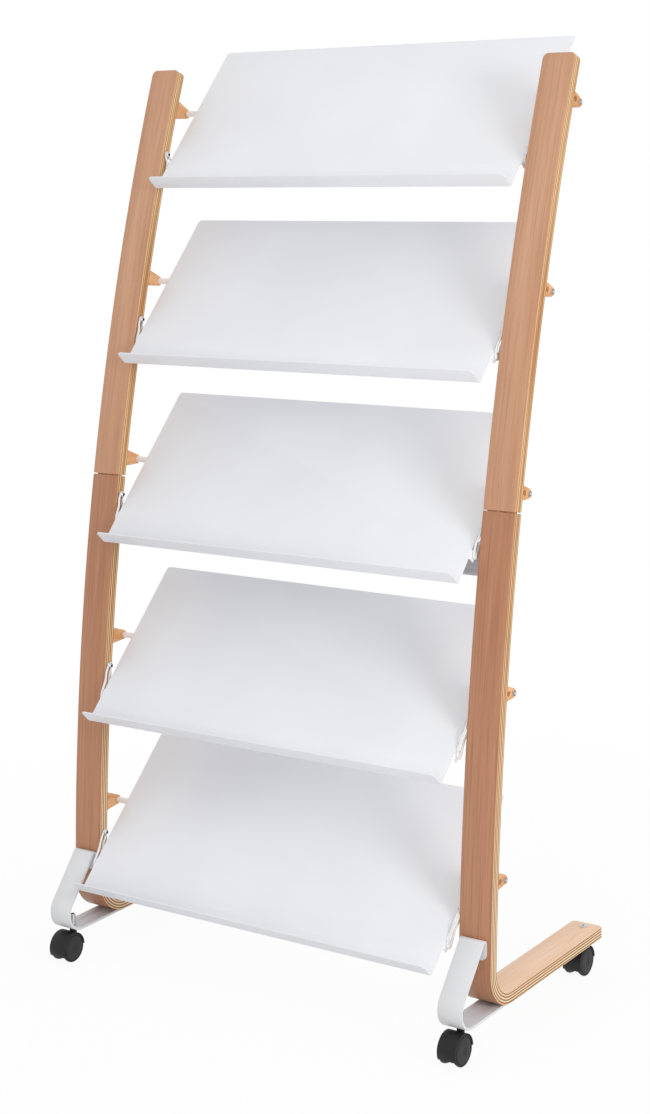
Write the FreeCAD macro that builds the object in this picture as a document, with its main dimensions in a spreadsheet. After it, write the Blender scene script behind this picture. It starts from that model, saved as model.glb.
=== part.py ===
import FreeCAD, Part
import math
import os
import Sketcher
from types import SimpleNamespace

# A tiered brochure stand: two bent plywood uprights on casters carry five
# sloping steel shelves between them.
# Lengths are millimetres and angles are degrees. X runs across the stand, Y to
# its back and Z up, with the floor at zero.

# Name, value and meaning of every size that can be set by itself
SIZES = [
    ("overall_width", "820", "Across the outer edges of both uprights"),
    ("board_width", "56", "Width of an upright across the stand"),
    ("board_thickness", "18", "Thickness of the bent plywood"),
    ("board_edge_round", "1.2", "Rounding along the board's long edges"),
    ("foot_height", "57", "Underside of the foot above the floor"),
    ("foot_length", "301.3", "Straight foot behind the bend"),
    ("foot_corner", "8", "Corner radius at the foot's back end"),
    ("bend_radius", "62.4", "Outer radius where foot turns into upright"),
    ("start_lean_angle", "3.17", "Backward lean where the upright leaves the bend"),
    ("rake_radius", "4466", "Radius of the upright's long backward sweep"),
    ("rake_length", "1395", "Length of the front face above the bend"),
    ("top_corner", "5", "Corner radius at the upright's top"),
    ("joint_lift", "31.6", "Joint above the third shelf's link bolt, along the front face"),
    ("joint_gap", "2", "Shadow gap between the two halves of an upright"),
    ("tongue_width", "46", "Loose tongue inside the joint, across"),
    ("tongue_thickness", "8", "Loose tongue inside the joint, thick"),
    ("tongue_length", "50", "Loose tongue inside the joint, long"),
    ("tongue_bevel", "1", "Bevel along the tongue's ends"),
    ("tongue_screw_share", "0.16", "Tongue's screws from the joint, share of its length"),
    ("tongue_screw_radius", "2", "Screws that lock the tongue, shank"),
    ("tongue_screw_head", "4", "Screws that lock the tongue, head radius"),
    ("tongue_head_height", "2.4", "Screws that lock the tongue, head height"),
    ("shelf_end_gap", "11", "Between a shelf's end and the upright's inner edge"),
    ("shelf_depth", "312", "Shelf up its slope"),
    ("shelf_1_angle", "46.7", "Slope of shelf 1 above the level"),
    ("shelf_2_angle", "46.5", "Slope of shelf 2 above the level"),
    ("shelf_3_angle", "46", "Slope of shelf 3 above the level"),
    ("shelf_4_angle", "44.5", "Slope of shelf 4 above the level"),
    ("shelf_5_angle", "43.4", "Slope of shelf 5 above the level"),
    ("sheet", "1.5", "Thickness of the shelf's sheet steel"),
    ("lip_height", "29.3", "Front lip, square to the shelf"),
    ("fold_radius", "1.5", "Inside radius of the sheet's folds"),
    ("shelf_corner", "6", "Corner radius at the shelf's back"),
    ("lip_corner", "7", "Corner radius at the lip's free ends"),
    ("tab_along", "45", "Side tab's near end, up the slope from the lip"),
    ("tab_width", "16", "Side tab's length up the slope"),
    ("tab_drop", "10", "Side tab below the shelf's underside"),
    ("link_width", "14", "Side link's width"),
    ("link_thickness", "3", "Side link's thickness"),
    ("link_slot", "6.5", "Width of the side link's slot"),
    ("link_land", "9.5", "From the link's rivet to the slot's near end"),
    ("link_along", "53", "Link's rivet, up the slope from the lip"),
    ("link_drop", "4", "Link's rivet below the shelf's underside"),
    ("rivet_radius", "1.6", "Rivet through link and tab"),
    ("rivet_head", "2.4", "Radius of the rivet's heads"),
    ("rivet_head_height", "0.9", "Height of the rivet's heads"),
    ("bolt_radius", "3", "Link bolt's shank"),
    ("bolt_head", "5.5", "Link bolt's button head radius"),
    ("bolt_head_height", "2.6", "Link bolt's button head height"),
    ("bolt_bite", "30", "Link bolt's length inside the board's edge"),
    ("spacer_radius", "5.5", "Washer stack between link and board"),
    ("bolt_1_share", "0.8932", "Link bolt of shelf 1, share of the rake's length"),
    ("bolt_2_share", "0.6877", "Link bolt of shelf 2, share of the rake's length"),
    ("bolt_3_share", "0.4741", "Link bolt of shelf 3, share of the rake's length"),
    ("bolt_4_share", "0.2665", "Link bolt of shelf 4, share of the rake's length"),
    ("bolt_5_share", "0.0618", "Link bolt of shelf 5, share of the rake's length"),
    ("bolt_along_1", "70.2", "Link bolt of shelf 1, up the slope from the lip"),
    ("bolt_along_2", "88.6", "Link bolt of shelf 2, up the slope from the lip"),
    ("bolt_along_3", "91.7", "Link bolt of shelf 3, up the slope from the lip"),
    ("bolt_along_4", "102.9", "Link bolt of shelf 4, up the slope from the lip"),
    ("bolt_along_5", "108.9", "Link bolt of shelf 5, up the slope from the lip"),
    ("bolt_above_1", "7.1", "Link bolt of shelf 1, above the underside plane"),
    ("bolt_above_2", "6.7", "Link bolt of shelf 2, above the underside plane"),
    ("bolt_above_3", "7.1", "Link bolt of shelf 3, above the underside plane"),
    ("bolt_above_4", "9", "Link bolt of shelf 4, above the underside plane"),
    ("bolt_above_5", "5.8", "Link bolt of shelf 5, above the underside plane"),
    ("rod_radius", "5", "Steel rod under the back of each shelf"),
    ("rod_screw_radius", "2.5", "Screw into the rod's end, shank"),
    ("rod_screw_head", "4.5", "Screw into the rod's end, head radius"),
    ("rod_head_height", "3", "Screw into the rod's end, head height"),
    ("rod_bite", "15", "Screw's length inside the rod"),
    ("ear_width", "28", "Wooden ear across the stand"),
    ("ear_inset", "14", "Ear's outer side inside the board's outer edge"),
    ("ear_reach", "44", "Ear's tip centre behind the board's back face"),
    ("ear_tip_radius", "8", "Ear's rounded tip"),
    ("ear_taper_angle", "10.8", "Slant of each long side of the ear"),
    ("ear_chamfer", "1.5", "Bevel round the ear's sides"),
    ("barrel_reach", "29", "Cross nut behind the board's back face"),
    ("barrel_radius", "4.5", "Cross nut's radius"),
    ("barrel_length", "14", "Cross nut's length"),
    ("barrel_cover", "7", "Wood left beyond the cross nut's blind hole"),
    ("stud_radius", "3", "Stud from board into cross nut"),
    ("stud_bite", "12", "Stud's depth inside the board"),
    ("stud_past_axis", "2.2", "Stud's end beyond the cross nut's axis"),
    ("brace_drop", "42.9", "Middle of the cross brace below the third shelf's link bolt"),
    ("brace_overlap", "36", "Cross brace's end over the board's back face"),
    ("brace_height", "51", "Cross brace up the boards"),
    ("brace_sheet", "2", "Thickness of the brace's sheet steel"),
    ("brace_return", "10", "Brace's top and bottom folds, front to back"),
    ("brace_screw_spread", "28", "Between the two screws at a brace's end"),
    ("brace_screw_radius", "2", "Brace screw's shank"),
    ("brace_screw_head", "4", "Brace screw's head radius"),
    ("brace_head_height", "2.4", "Brace screw's head height"),
    ("brace_bite", "13", "Brace screw's depth inside the board"),
    ("strap_width", "42", "Front foot's steel strap, across"),
    ("strap_thickness", "4", "Front foot's steel strap, thick"),
    ("strap_reach", "73.4", "Strap's front ahead of the boards"),
    ("strap_bend", "30", "Outer radius of the strap's front bend"),
    ("strap_rise_angle", "41", "Strap's rising run away from upright"),
    ("strap_fold", "2", "Inside radius of the strap's top fold"),
    ("strap_tab", "25", "Strap's end flat against the board"),
    ("strap_corner", "8", "Corner radius at the strap's end"),
    ("strap_tail", "105", "Strap's other end under the foot, from the front"),
    ("strap_screw_first", "74", "Strap's front screw, from the boards' front"),
    ("strap_screw_pitch", "20", "Between the strap's two screws"),
    ("strap_screw_radius", "2.2", "Strap screw's shank"),
    ("strap_screw_head", "4.5", "Strap screw's head radius"),
    ("strap_head_height", "2.2", "Strap screw's head height"),
    ("strap_bite", "13", "Strap screw's depth inside the foot"),
    ("front_stem_reach", "42.4", "Front caster's stem ahead of the boards"),
    ("rear_stem_inset", "16.5", "Rear caster's stem from the foot's end"),
    ("stem_radius", "4", "Threaded caster stem"),
    ("collar_radius", "6", "Collar that carries the load onto the stem"),
    ("journal_radius", "3", "Smooth end of the stem inside the hood"),
    ("journal_depth", "20", "Smooth end's length"),
    ("sleeve_radius", "5", "Threaded sleeve over the front stem"),
    ("sleeve_height", "19", "Threaded sleeve above the strap"),
    ("sleeve_bevel", "0.6", "Bevel at the sleeve's foot"),
    ("stem_below_top", "4", "Stem's end below the sleeve's or nut's top"),
    ("nut_radius", "6", "Round nut on the rear stem"),
    ("nut_height", "6", "Round nut above the foot"),
    ("wheel_radius", "24.3", "Caster wheel"),
    ("wheel_bevel", "1.6", "Bevel at the wheel's outer rim"),
    ("wheel_dish", "0.8", "Hollow of the wheel's outer face"),
    ("caster_width", "32", "Across a caster's hood"),
    ("caster_trail", "16.9", "Wheel axle ahead of the swivel axis"),
    ("hood_radius", "26", "Outer radius of the caster's hood"),
    ("hood_start_angle", "40", "Hood's lower front end below the axle's level"),
    ("hood_boss", "6", "Radius of the hood's swivel boss"),
    ("web_thickness", "7.8", "Hood's web between the wheels"),
    ("hub_radius", "7", "Round hub of the web at the axle"),
    ("axle_radius", "3", "Moulded axle"),
    ("axle_end", "2.8", "Axle's end inside the wheel's outer face"),
    ("crown_share", "0.55", "Flat top of a screw's head, share of its radius"),
    ("rim_share", "0.5", "Straight rim of a screw's head, share of its height"),
    ("running_gap", "0.4", "Wheel's clearance beside hood and web"),
    ("swivel_gap", "0.3", "Boss below the stem's collar"),
    ("pin_gap", "0.05", "Radial clearance of every pin in its hole"),
    ("seat_gap", "0.1", "Tongue's clearance inside its mortise"),
    ("overrun", "2", "How far a cut runs past the face it opens"),
]

SLOPES = [name for name, number, meaning in SIZES if name.startswith("shelf_") and "angle" in name]
SHELVES = [name.split("_")[1] for name in SLOPES]
SIDES = (("left", -1), ("right", 1))
CORNERS = (("front", 0), ("rear", 1))

doc = FreeCAD.newDocument("BrochureStand")
sheet = doc.addObject("Spreadsheet::Sheet", "Sizes")
for row, (name, number, meaning) in enumerate(SIZES, start=1):
    sheet.set(f"A{row}", meaning)
    sheet.set(f"B{row}", number)
    sheet.setAlias(f"B{row}", name)
doc.recompute()
dims = SimpleNamespace(**{name: float(sheet.get(name)) for name, number, meaning in SIZES})

nodes = []


# Expressions, sketches and features

def near(first, second):
    return abs(first - second) < dims.seat_gap


def value(text):
    """The number that an expression gives."""
    result = sheet.evalExpression(str(text))
    return float(getattr(result, "Value", result))


def bind(item, name, text):
    """Ties one property of an object to the sheet."""
    item.setExpression(name, str(text))


def new_body(label):
    body = doc.addObject("PartDesign::Body", label)
    body.Label = label
    return body


def new_sketch(body, plane, offset=None):
    """A sketch on one of the body's origin planes, moved off it along the plane's normal."""
    sketch = body.newObject("Sketcher::SketchObject", body.Name + "Sketch")
    feature = [item for item in body.Origin.OriginFeatures if item.Role == plane + "_Plane"][0]
    sketch.AttachmentSupport = [(feature, "")]
    sketch.MapMode = "FlatFace"
    if offset is not None:
        bind(sketch, ".AttachmentOffset.Base.z", offset)
    return sketch


def pin_point(sketch, edge, end, point):
    """Holds an edge's end at a point given by two expressions."""
    for kind, text in zip(("DistanceX", "DistanceY"), point):
        number = sketch.addConstraint(Sketcher.Constraint(kind, -1, 1, edge, end, value(text)))
        bind(sketch, f"Constraints[{number}]", text)


def arc_between(start, end, radius, turn):
    """An arc of under a half circle; turn is 1 when it is travelled anticlockwise."""
    first, last = (start, end) if turn > 0 else (end, start)
    chord = last - first
    height = math.sqrt(max(radius * radius - chord.Length * chord.Length / 4, 0))
    across = FreeCAD.Vector(-chord.y, chord.x, 0).normalize()
    centre = (first + last) / 2 + across * height
    circle = Part.Circle(centre, FreeCAD.Vector(0, 0, 1), radius)
    angles = [math.atan2(spot.y - centre.y, spot.x - centre.x) for spot in (first, last)]
    return Part.ArcOfCircle(circle, angles[0], angles[1])


def hold_arc(sketch, edge, start, end, radius):
    """Holds an arc by its radius, or by its centre where it is half a circle on an upright chord."""
    if start[0] == end[0] and near(abs(value(end[1]) - value(start[1])), 2 * value(radius)):
        number = sketch.addConstraint(Sketcher.Constraint("DistanceX", -1, 1, edge, 3, value(start[0])))
        bind(sketch, f"Constraints[{number}]", start[0])
        return
    number = sketch.addConstraint(Sketcher.Constraint("Radius", edge, value(radius)))
    bind(sketch, f"Constraints[{number}]", radius)


def draw(sketch, points, arcs=None, closed=True):
    """Draws lines and arcs through points; arcs maps an edge to its radius and its turn."""
    arcs = arcs or {}
    spots = [FreeCAD.Vector(value(across), value(up), 0) for across, up in points]
    count = len(points) if closed else len(points) - 1
    base = sketch.GeometryCount
    ends = []
    for index in range(count):
        start, end = spots[index], spots[(index + 1) % len(spots)]
        if index in arcs:
            radius, turn = arcs[index]
            edge = sketch.addGeometry(arc_between(start, end, value(radius), turn), False)
            hold_arc(sketch, edge, points[index], points[(index + 1) % len(points)], radius)
            ends.append((1, 2) if turn > 0 else (2, 1))
        else:
            sketch.addGeometry(Part.LineSegment(start, end), False)
            ends.append((1, 2))
        pin_point(sketch, base + index, ends[index][0], points[index])
    for index in range(count if closed else count - 1):
        after = (index + 1) % count
        join = Sketcher.Constraint("Coincident", base + index, ends[index][1], base + after, ends[after][0])
        sketch.addConstraint(join)
    if not closed:
        pin_point(sketch, base + count - 1, ends[-1][1], points[-1])


def draw_box(sketch, half, low, high):
    """A rectangle across the sketch's upright axis."""
    draw(sketch, [(f"-{half}", low), (half, low), (half, high), (f"-{half}", high)])


def draw_circle(sketch, point, radius):
    centre = FreeCAD.Vector(value(point[0]), value(point[1]), 0)
    circle = Part.Circle(centre, FreeCAD.Vector(0, 0, 1), value(radius))
    edge = sketch.addGeometry(circle, False)
    pin_point(sketch, edge, 3, point)
    number = sketch.addConstraint(Sketcher.Constraint("Radius", edge, value(radius)))
    bind(sketch, f"Constraints[{number}]", radius)


def pad(body, sketch, length, reverse=None):
    """A pad to both sides of the sketch, or to one side if reverse is given."""
    feature = body.newObject("PartDesign::Pad", body.Name + "Pad")
    feature.Profile = sketch
    feature.Midplane = reverse is None
    feature.Reversed = bool(reverse)
    bind(feature, "Length", length)
    return feature


def pocket(body, sketch, length, reverse=None):
    """A pocket to both sides of the sketch, or to one side if reverse is given."""
    feature = body.newObject("PartDesign::Pocket", body.Name + "Pocket")
    feature.Profile = sketch
    feature.Midplane = reverse is None
    feature.Reversed = bool(reverse)
    bind(feature, "Length", length)
    return feature


def pipe(body, section, path):
    feature = body.newObject("PartDesign::AdditivePipe", body.Name + "Pipe")
    feature.Profile = section
    feature.Spine = path
    return feature


def matching_edges(feature, test):
    """Names of a feature's edges that pass a test of their middle and length."""
    doc.recompute()
    edges = enumerate(feature.Shape.Edges, start=1)
    return [f"Edge{index}" for index, edge in edges if test(edge.CenterOfMass, edge.Length)]


def dress(body, kind, feature, test, size_name, text):
    """A Fillet or Chamfer on the edges that pass a test."""
    edges = matching_edges(feature, test)
    dressed = body.newObject("PartDesign::" + kind, body.Name + kind)
    dressed.Base = (feature, edges)
    bind(dressed, size_name, text)
    return dressed


def turned(label, points, arcs=None):
    """A body turned about its own Z axis; points are radius and height."""
    body = new_body(label)
    sketch = new_sketch(body, "XZ")
    draw(sketch, points, arcs)
    feature = body.newObject("PartDesign::Revolution", body.Name + "Turn")
    feature.Profile = sketch
    feature.ReferenceAxis = (sketch, ["V_Axis"])
    return body


def peg(label, radius, length, placement):
    """A cylinder along its own Z axis."""
    cylinder = doc.addObject("Part::Cylinder", label)
    bind(cylinder, "Radius", radius)
    bind(cylinder, "Height", length)
    cylinder.Placement = placement
    return cylinder


def keep(item, label):
    """Names a finished sub-part and adds it to those that are written."""
    item.Label = label
    nodes.append(item)
    return item


def group(items, label):
    """Several equal pieces that share one node."""
    compound = doc.addObject("Part::Compound", label)
    compound.Links = items
    return keep(compound, label)


def drilled(blank, tools, label):
    """A blank with every tool cut out of it."""
    cutter = doc.addObject("Part::Compound", label + "Tools")
    cutter.Links = tools
    cut = doc.addObject("Part::Cut", label)
    cut.Base = blank
    cut.Tool = cutter
    return keep(cut, label)


# Places on the stand; depth is behind an upright's front face

ALONG_X = FreeCAD.Rotation(FreeCAD.Vector(0, 1, 0), 90)
AGAINST_X = FreeCAD.Rotation(FreeCAD.Vector(0, 1, 0), -90)
BACKWARD = FreeCAD.Rotation(FreeCAD.Vector(1, 0, 0), -90)
DOWNWARD = FreeCAD.Rotation(FreeCAD.Vector(1, 0, 0), 180)
UPRIGHT = FreeCAD.Rotation()

JOINT = "(Sizes.bolt_3_share * Sizes.rake_length + Sizes.joint_lift)"
joint_station = value(JOINT)
brace_station = value("Sizes.bolt_3_share * Sizes.rake_length - Sizes.brace_drop")

start_lean = math.radians(dims.start_lean_angle)
sweep = dims.rake_radius - dims.bend_radius
rake_centre = FreeCAD.Vector(
    0,
    dims.bend_radius + sweep * math.cos(start_lean),
    dims.foot_height + dims.bend_radius - sweep * math.sin(start_lean),
)
board_centre = (dims.overall_width - dims.board_width) / 2
board_inner = dims.overall_width / 2 - dims.board_width
shelf_end = board_inner - dims.shelf_end_gap
ear_centre = dims.overall_width / 2 - dims.ear_inset - dims.ear_width / 2
rod_depth = dims.board_thickness + dims.ear_reach
foot_end = dims.bend_radius + dims.foot_length


def lean_at(station):
    return start_lean + station / dims.rake_radius


def on_rake(station, depth):
    """A point beside the upright, in the plane across the stand's middle."""
    lean = lean_at(station)
    outward = FreeCAD.Vector(0, -math.cos(lean), math.sin(lean))
    return rake_centre + outward * (dims.rake_radius - depth)


def of_shelf(name, shelf):
    """A size that every shelf has for itself."""
    return getattr(dims, f"{name}_{shelf}")


def slope(shelf):
    return getattr(dims, f"shelf_{shelf}_angle")


def up_slope(shelf):
    angle = math.radians(slope(shelf))
    return FreeCAD.Vector(0, math.cos(angle), math.sin(angle))


def off_slope(shelf):
    angle = math.radians(slope(shelf))
    return FreeCAD.Vector(0, -math.sin(angle), math.cos(angle))


def bolt_station(shelf):
    """A link bolt's place along the upright's front face."""
    return value(f"Sizes.bolt_{shelf}_share * Sizes.rake_length")


def shelf_corner(shelf):
    """The outer corner of a shelf's lip fold."""
    bolt = on_rake(bolt_station(shelf), dims.board_thickness / 2)
    step = up_slope(shelf) * of_shelf("bolt_along", shelf) + off_slope(shelf) * of_shelf("bolt_above", shelf)
    return bolt - step


def rod_point(shelf):
    """Where the rod just touches the shelf's underside at the ears' depth."""
    start = shelf_corner(shelf) - off_slope(shelf) * dims.rod_radius
    span = rake_centre - start
    radius = dims.rake_radius - rod_depth
    miss = span.dot(off_slope(shelf))
    reach = span.dot(up_slope(shelf)) - math.sqrt(radius * radius - miss * miss)
    return start + up_slope(shelf) * reach


front_edge = -(dims.front_stem_reach + dims.caster_trail + dims.hood_radius)
back_edge = (shelf_corner(SHELVES[0]) + up_slope(SHELVES[0]) * dims.shelf_depth).y
middle = FreeCAD.Vector(0, (front_edge + back_edge) / 2, 0)


def place(point, turn=UPRIGHT, side_x=0):
    """A placement in the finished stand, whose middle is over the origin."""
    return FreeCAD.Placement(point - middle + FreeCAD.Vector(side_x, 0, 0), turn)


def rake_turn(station):
    """Turns Y square into the board and Z along it."""
    return FreeCAD.Rotation(FreeCAD.Vector(1, 0, 0), -math.degrees(lean_at(station)))


def rod_station(shelf):
    spot = rod_point(shelf)
    lean = math.atan2(spot.z - rake_centre.z, rake_centre.y - spot.y)
    return (lean - start_lean) * dims.rake_radius


def shelf_place(shelf, along=0, above=0, side_x=0, turn=UPRIGHT):
    """A placement in a shelf's own frame: Y up the slope and Z off the sheet."""
    tilt = FreeCAD.Rotation(FreeCAD.Vector(1, 0, 0), slope(shelf))
    spot = shelf_corner(shelf) + up_slope(shelf) * along + off_slope(shelf) * above
    return place(spot, tilt * turn, side_x)


def toward(side):
    """The rotation that points Z from the stand's middle to one side."""
    return ALONG_X if side > 0 else AGAINST_X


# Uprights

def rake_expression(station):
    """The same point of the front face as two expressions."""
    lean = f"(Sizes.start_lean_angle * 1deg + ({station}) / Sizes.rake_radius * 1rad)"
    sweep_text = "(Sizes.rake_radius - Sizes.bend_radius)"
    across = f"Sizes.bend_radius + {sweep_text} * cos(Sizes.start_lean_angle * 1deg)"
    up = f"Sizes.foot_height + Sizes.bend_radius - {sweep_text} * sin(Sizes.start_lean_angle * 1deg)"
    return (
        f"{across} - Sizes.rake_radius * cos({lean})",
        f"{up} + Sizes.rake_radius * sin({lean})",
    )


def long_edge(spot, length):
    return near(abs(spot.x), dims.board_width / 2) and length > dims.board_width / 2


def lower_board(label):
    """Foot, tight bend and lower half of the sweep, one strip of plywood."""
    body = new_body(label)
    path = new_sketch(body, "YZ")
    points = [
        ("Sizes.bend_radius + Sizes.foot_length", "Sizes.foot_height"),
        ("Sizes.bend_radius", "Sizes.foot_height"),
        rake_expression("0"),
        rake_expression(f"{JOINT} - Sizes.joint_gap / 2"),
    ]
    draw(path, points, {1: ("Sizes.bend_radius", -1), 2: ("Sizes.rake_radius", -1)}, closed=False)
    section = new_sketch(body, "XZ", "-(Sizes.bend_radius + Sizes.foot_length)")
    top = "Sizes.foot_height + Sizes.board_thickness"
    draw_box(section, "Sizes.board_width / 2", "Sizes.foot_height", top)
    strip = pipe(body, section, path)

    def foot_edge(spot, length):
        return near(spot.y, foot_end) and near(length, dims.board_thickness)

    rounded = dress(body, "Fillet", strip, foot_edge, "Radius", "Sizes.foot_corner")
    dress(body, "Fillet", rounded, long_edge, "Radius", "Sizes.board_edge_round")
    return body


def upper_board(label):
    """Upper half of the sweep, turned about the sweep's centre."""
    body = new_body(label)
    section = new_sketch(body, "XY")
    back = "Sizes.board_thickness - Sizes.rake_radius"
    draw_box(section, "Sizes.board_width / 2", "-Sizes.rake_radius", back)
    strip = body.newObject("PartDesign::Revolution", body.Name + "Sweep")
    strip.Profile = section
    strip.ReferenceAxis = (section, ["H_Axis"])
    strip.Reversed = True
    length = f"(Sizes.rake_length - {JOINT} - Sizes.joint_gap / 2)"
    bind(strip, "Angle", f"{length} / Sizes.rake_radius * 1rad")

    def top_edge(spot, length_here):
        return near(length_here, dims.board_thickness) and spot.z > dims.board_width

    rounded = dress(body, "Fillet", strip, top_edge, "Radius", "Sizes.top_corner")
    dress(body, "Fillet", rounded, long_edge, "Radius", "Sizes.board_edge_round")
    return body


def mortise(label, side):
    """The space for the loose tongue, open across the joint."""
    box = doc.addObject("Part::Box", label)
    bind(box, "Length", "Sizes.tongue_width + 2 * Sizes.seat_gap")
    bind(box, "Width", "Sizes.tongue_thickness + 2 * Sizes.seat_gap")
    bind(box, "Height", "Sizes.tongue_length + 2 * Sizes.seat_gap")
    corner = FreeCAD.Vector(
        -dims.tongue_width / 2 - dims.seat_gap,
        -dims.tongue_thickness / 2 - dims.seat_gap,
        -dims.tongue_length / 2 - dims.seat_gap,
    )
    turn = rake_turn(joint_station)
    spot = on_rake(joint_station, dims.board_thickness / 2) + turn.multVec(corner)
    box.Placement = place(spot, turn, side * board_centre)
    return box


tongue_step = dims.tongue_length * dims.tongue_screw_share
TONGUE_HOLES = (("Below", -tongue_step), ("Above", tongue_step))
BRACE_OFFSETS = (-dims.brace_screw_spread / 2, dims.brace_screw_spread / 2)
STRAP_SCREWS = (dims.strap_screw_first, dims.strap_screw_first + dims.strap_screw_pitch)


def tongue(label, side):
    """A loose tongue of hard plywood, bevelled at its ends, drilled for its two screws."""
    body = new_body(label + "Blank")
    sketch = new_sketch(body, "YZ")
    half = "Sizes.tongue_thickness / 2"
    bevel = "Sizes.tongue_bevel"
    end = "Sizes.tongue_length / 2"
    points = [
        (f"-{half}", f"-({end} - {bevel})"), (f"-{half} + {bevel}", f"-{end}"),
        (f"{half} - {bevel}", f"-{end}"), (half, f"-({end} - {bevel})"),
        (half, f"{end} - {bevel}"), (f"{half} - {bevel}", end),
        (f"-{half} + {bevel}", end), (f"-{half}", f"{end} - {bevel}"),
    ]
    draw(sketch, points)
    pad(body, sketch, "Sizes.tongue_width")
    spot = on_rake(joint_station, dims.board_thickness / 2)
    body.Placement = place(spot, rake_turn(joint_station), side * board_centre)
    holes = [tongue_hole(f"{label}Hole{half_name}", side, offset) for half_name, offset in TONGUE_HOLES]
    return drilled(body, holes, label)


def tongue_hole(label, side, offset):
    """The path of a tongue screw, from the board's back to short of its front."""
    station = joint_station + offset
    spot = on_rake(station, tongue_screw_tip())
    length = "Sizes.board_thickness / 2 + Sizes.tongue_thickness / 2 + Sizes.overrun + Sizes.seat_gap"
    here = place(spot, rake_turn(station) * BACKWARD, side * board_centre)
    return peg(label, "Sizes.tongue_screw_radius + Sizes.pin_gap", length, here)


def tongue_screw_tip():
    """Depth at which the tongue's front face lies, where its screws end."""
    return (dims.board_thickness - dims.tongue_thickness) / 2 - dims.seat_gap


def edge_bolt_hole(label, side, shelf):
    """A blind hole in the board's inner edge for a link bolt."""
    spot = on_rake(bolt_station(shelf), dims.board_thickness / 2)
    start = side * (board_inner - dims.overrun)
    length = "Sizes.bolt_bite + Sizes.overrun + Sizes.seat_gap"
    return peg(label, "Sizes.bolt_radius + Sizes.pin_gap", length, place(spot, toward(side), start))


def stud_hole(label, side, shelf):
    """A blind hole in the board's back face for an ear's stud."""
    station = rod_station(shelf)
    spot = on_rake(station, dims.board_thickness - dims.stud_bite - dims.seat_gap)
    turn = rake_turn(station) * BACKWARD
    length = "Sizes.stud_bite + Sizes.overrun"
    return peg(label, "Sizes.stud_radius + Sizes.pin_gap", length, place(spot, turn, side * ear_centre))


def brace_depth():
    """Depth of the brace's flat front, whose long edges bear on the hollow back of the boards."""
    hollow = dims.rake_radius - dims.board_thickness
    sag = hollow - math.sqrt(hollow * hollow - dims.brace_height * dims.brace_height / 4)
    return dims.board_thickness + sag


def brace_spot(offset, depth):
    """A point beside the brace's middle, in the brace's own upright frame."""
    turn = rake_turn(brace_station)
    return on_rake(brace_station, depth) + turn.multVec(FreeCAD.Vector(0, 0, offset))


def brace_hole(label, side, offset):
    spot = brace_spot(offset, brace_depth() - dims.brace_bite - dims.seat_gap)
    length = "Sizes.brace_bite + Sizes.brace_sheet + Sizes.overrun + Sizes.seat_gap"
    turn = rake_turn(brace_station) * BACKWARD
    across = side * (board_inner + dims.brace_overlap / 2)
    return peg(label, "Sizes.brace_screw_radius + Sizes.pin_gap", length, place(spot, turn, across))


def strap_hole(label, side, back):
    """The path of a strap screw, up through the strap and into the foot."""
    spot = FreeCAD.Vector(0, back, dims.foot_height - dims.strap_thickness - dims.overrun)
    length = "Sizes.strap_thickness + Sizes.overrun + Sizes.strap_bite + Sizes.seat_gap"
    here = place(spot, UPRIGHT, side * board_centre)
    return peg(label, "Sizes.strap_screw_radius + Sizes.pin_gap", length, here)


def rear_stem_hole(label, side):
    spot = FreeCAD.Vector(0, foot_end - dims.rear_stem_inset, dims.foot_height - dims.overrun)
    length = "Sizes.board_thickness + 2 * Sizes.overrun"
    return peg(label, "Sizes.stem_radius + Sizes.pin_gap", length, place(spot, UPRIGHT, side * board_centre))


def upright(name, side):
    """Both halves of one upright, drilled for what they carry."""
    low = lower_board(name + "LowerBlank")
    low.Placement = place(FreeCAD.Vector(), UPRIGHT, side * board_centre)
    high = upper_board(name + "UpperBlank")
    gap_turn = FreeCAD.Rotation(
        FreeCAD.Vector(1, 0, 0), -math.degrees(lean_at(joint_station + dims.joint_gap / 2))
    )
    high.Placement = place(rake_centre, gap_turn, side * board_centre)
    low_tools = [mortise(name + "LowerMortise", side), rear_stem_hole(name + "StemHole", side)]
    high_tools = [mortise(name + "UpperMortise", side)]
    low_tools.append(tongue_hole(name + "LowerScrewPath", side, TONGUE_HOLES[0][1]))
    high_tools.append(tongue_hole(name + "UpperScrewPath", side, TONGUE_HOLES[1][1]))
    for shelf in SHELVES:
        bolt_tools = low_tools if bolt_station(shelf) < joint_station else high_tools
        bolt_tools.append(edge_bolt_hole(f"{name}BoltHole{shelf}", side, shelf))
        stud_tools = low_tools if rod_station(shelf) < joint_station else high_tools
        stud_tools.append(stud_hole(f"{name}StudHole{shelf}", side, shelf))
    for index, offset in enumerate(BRACE_OFFSETS):
        low_tools.append(brace_hole(f"{name}BraceHole{index}", side, offset))
    for index, back in enumerate(STRAP_SCREWS):
        low_tools.append(strap_hole(f"{name}StrapHole{index}", side, back))
    drilled(low, low_tools, f"{name}_upright_lower")
    drilled(high, high_tools, f"{name}_upright_upper")


# Shelves, links and rods

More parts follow.
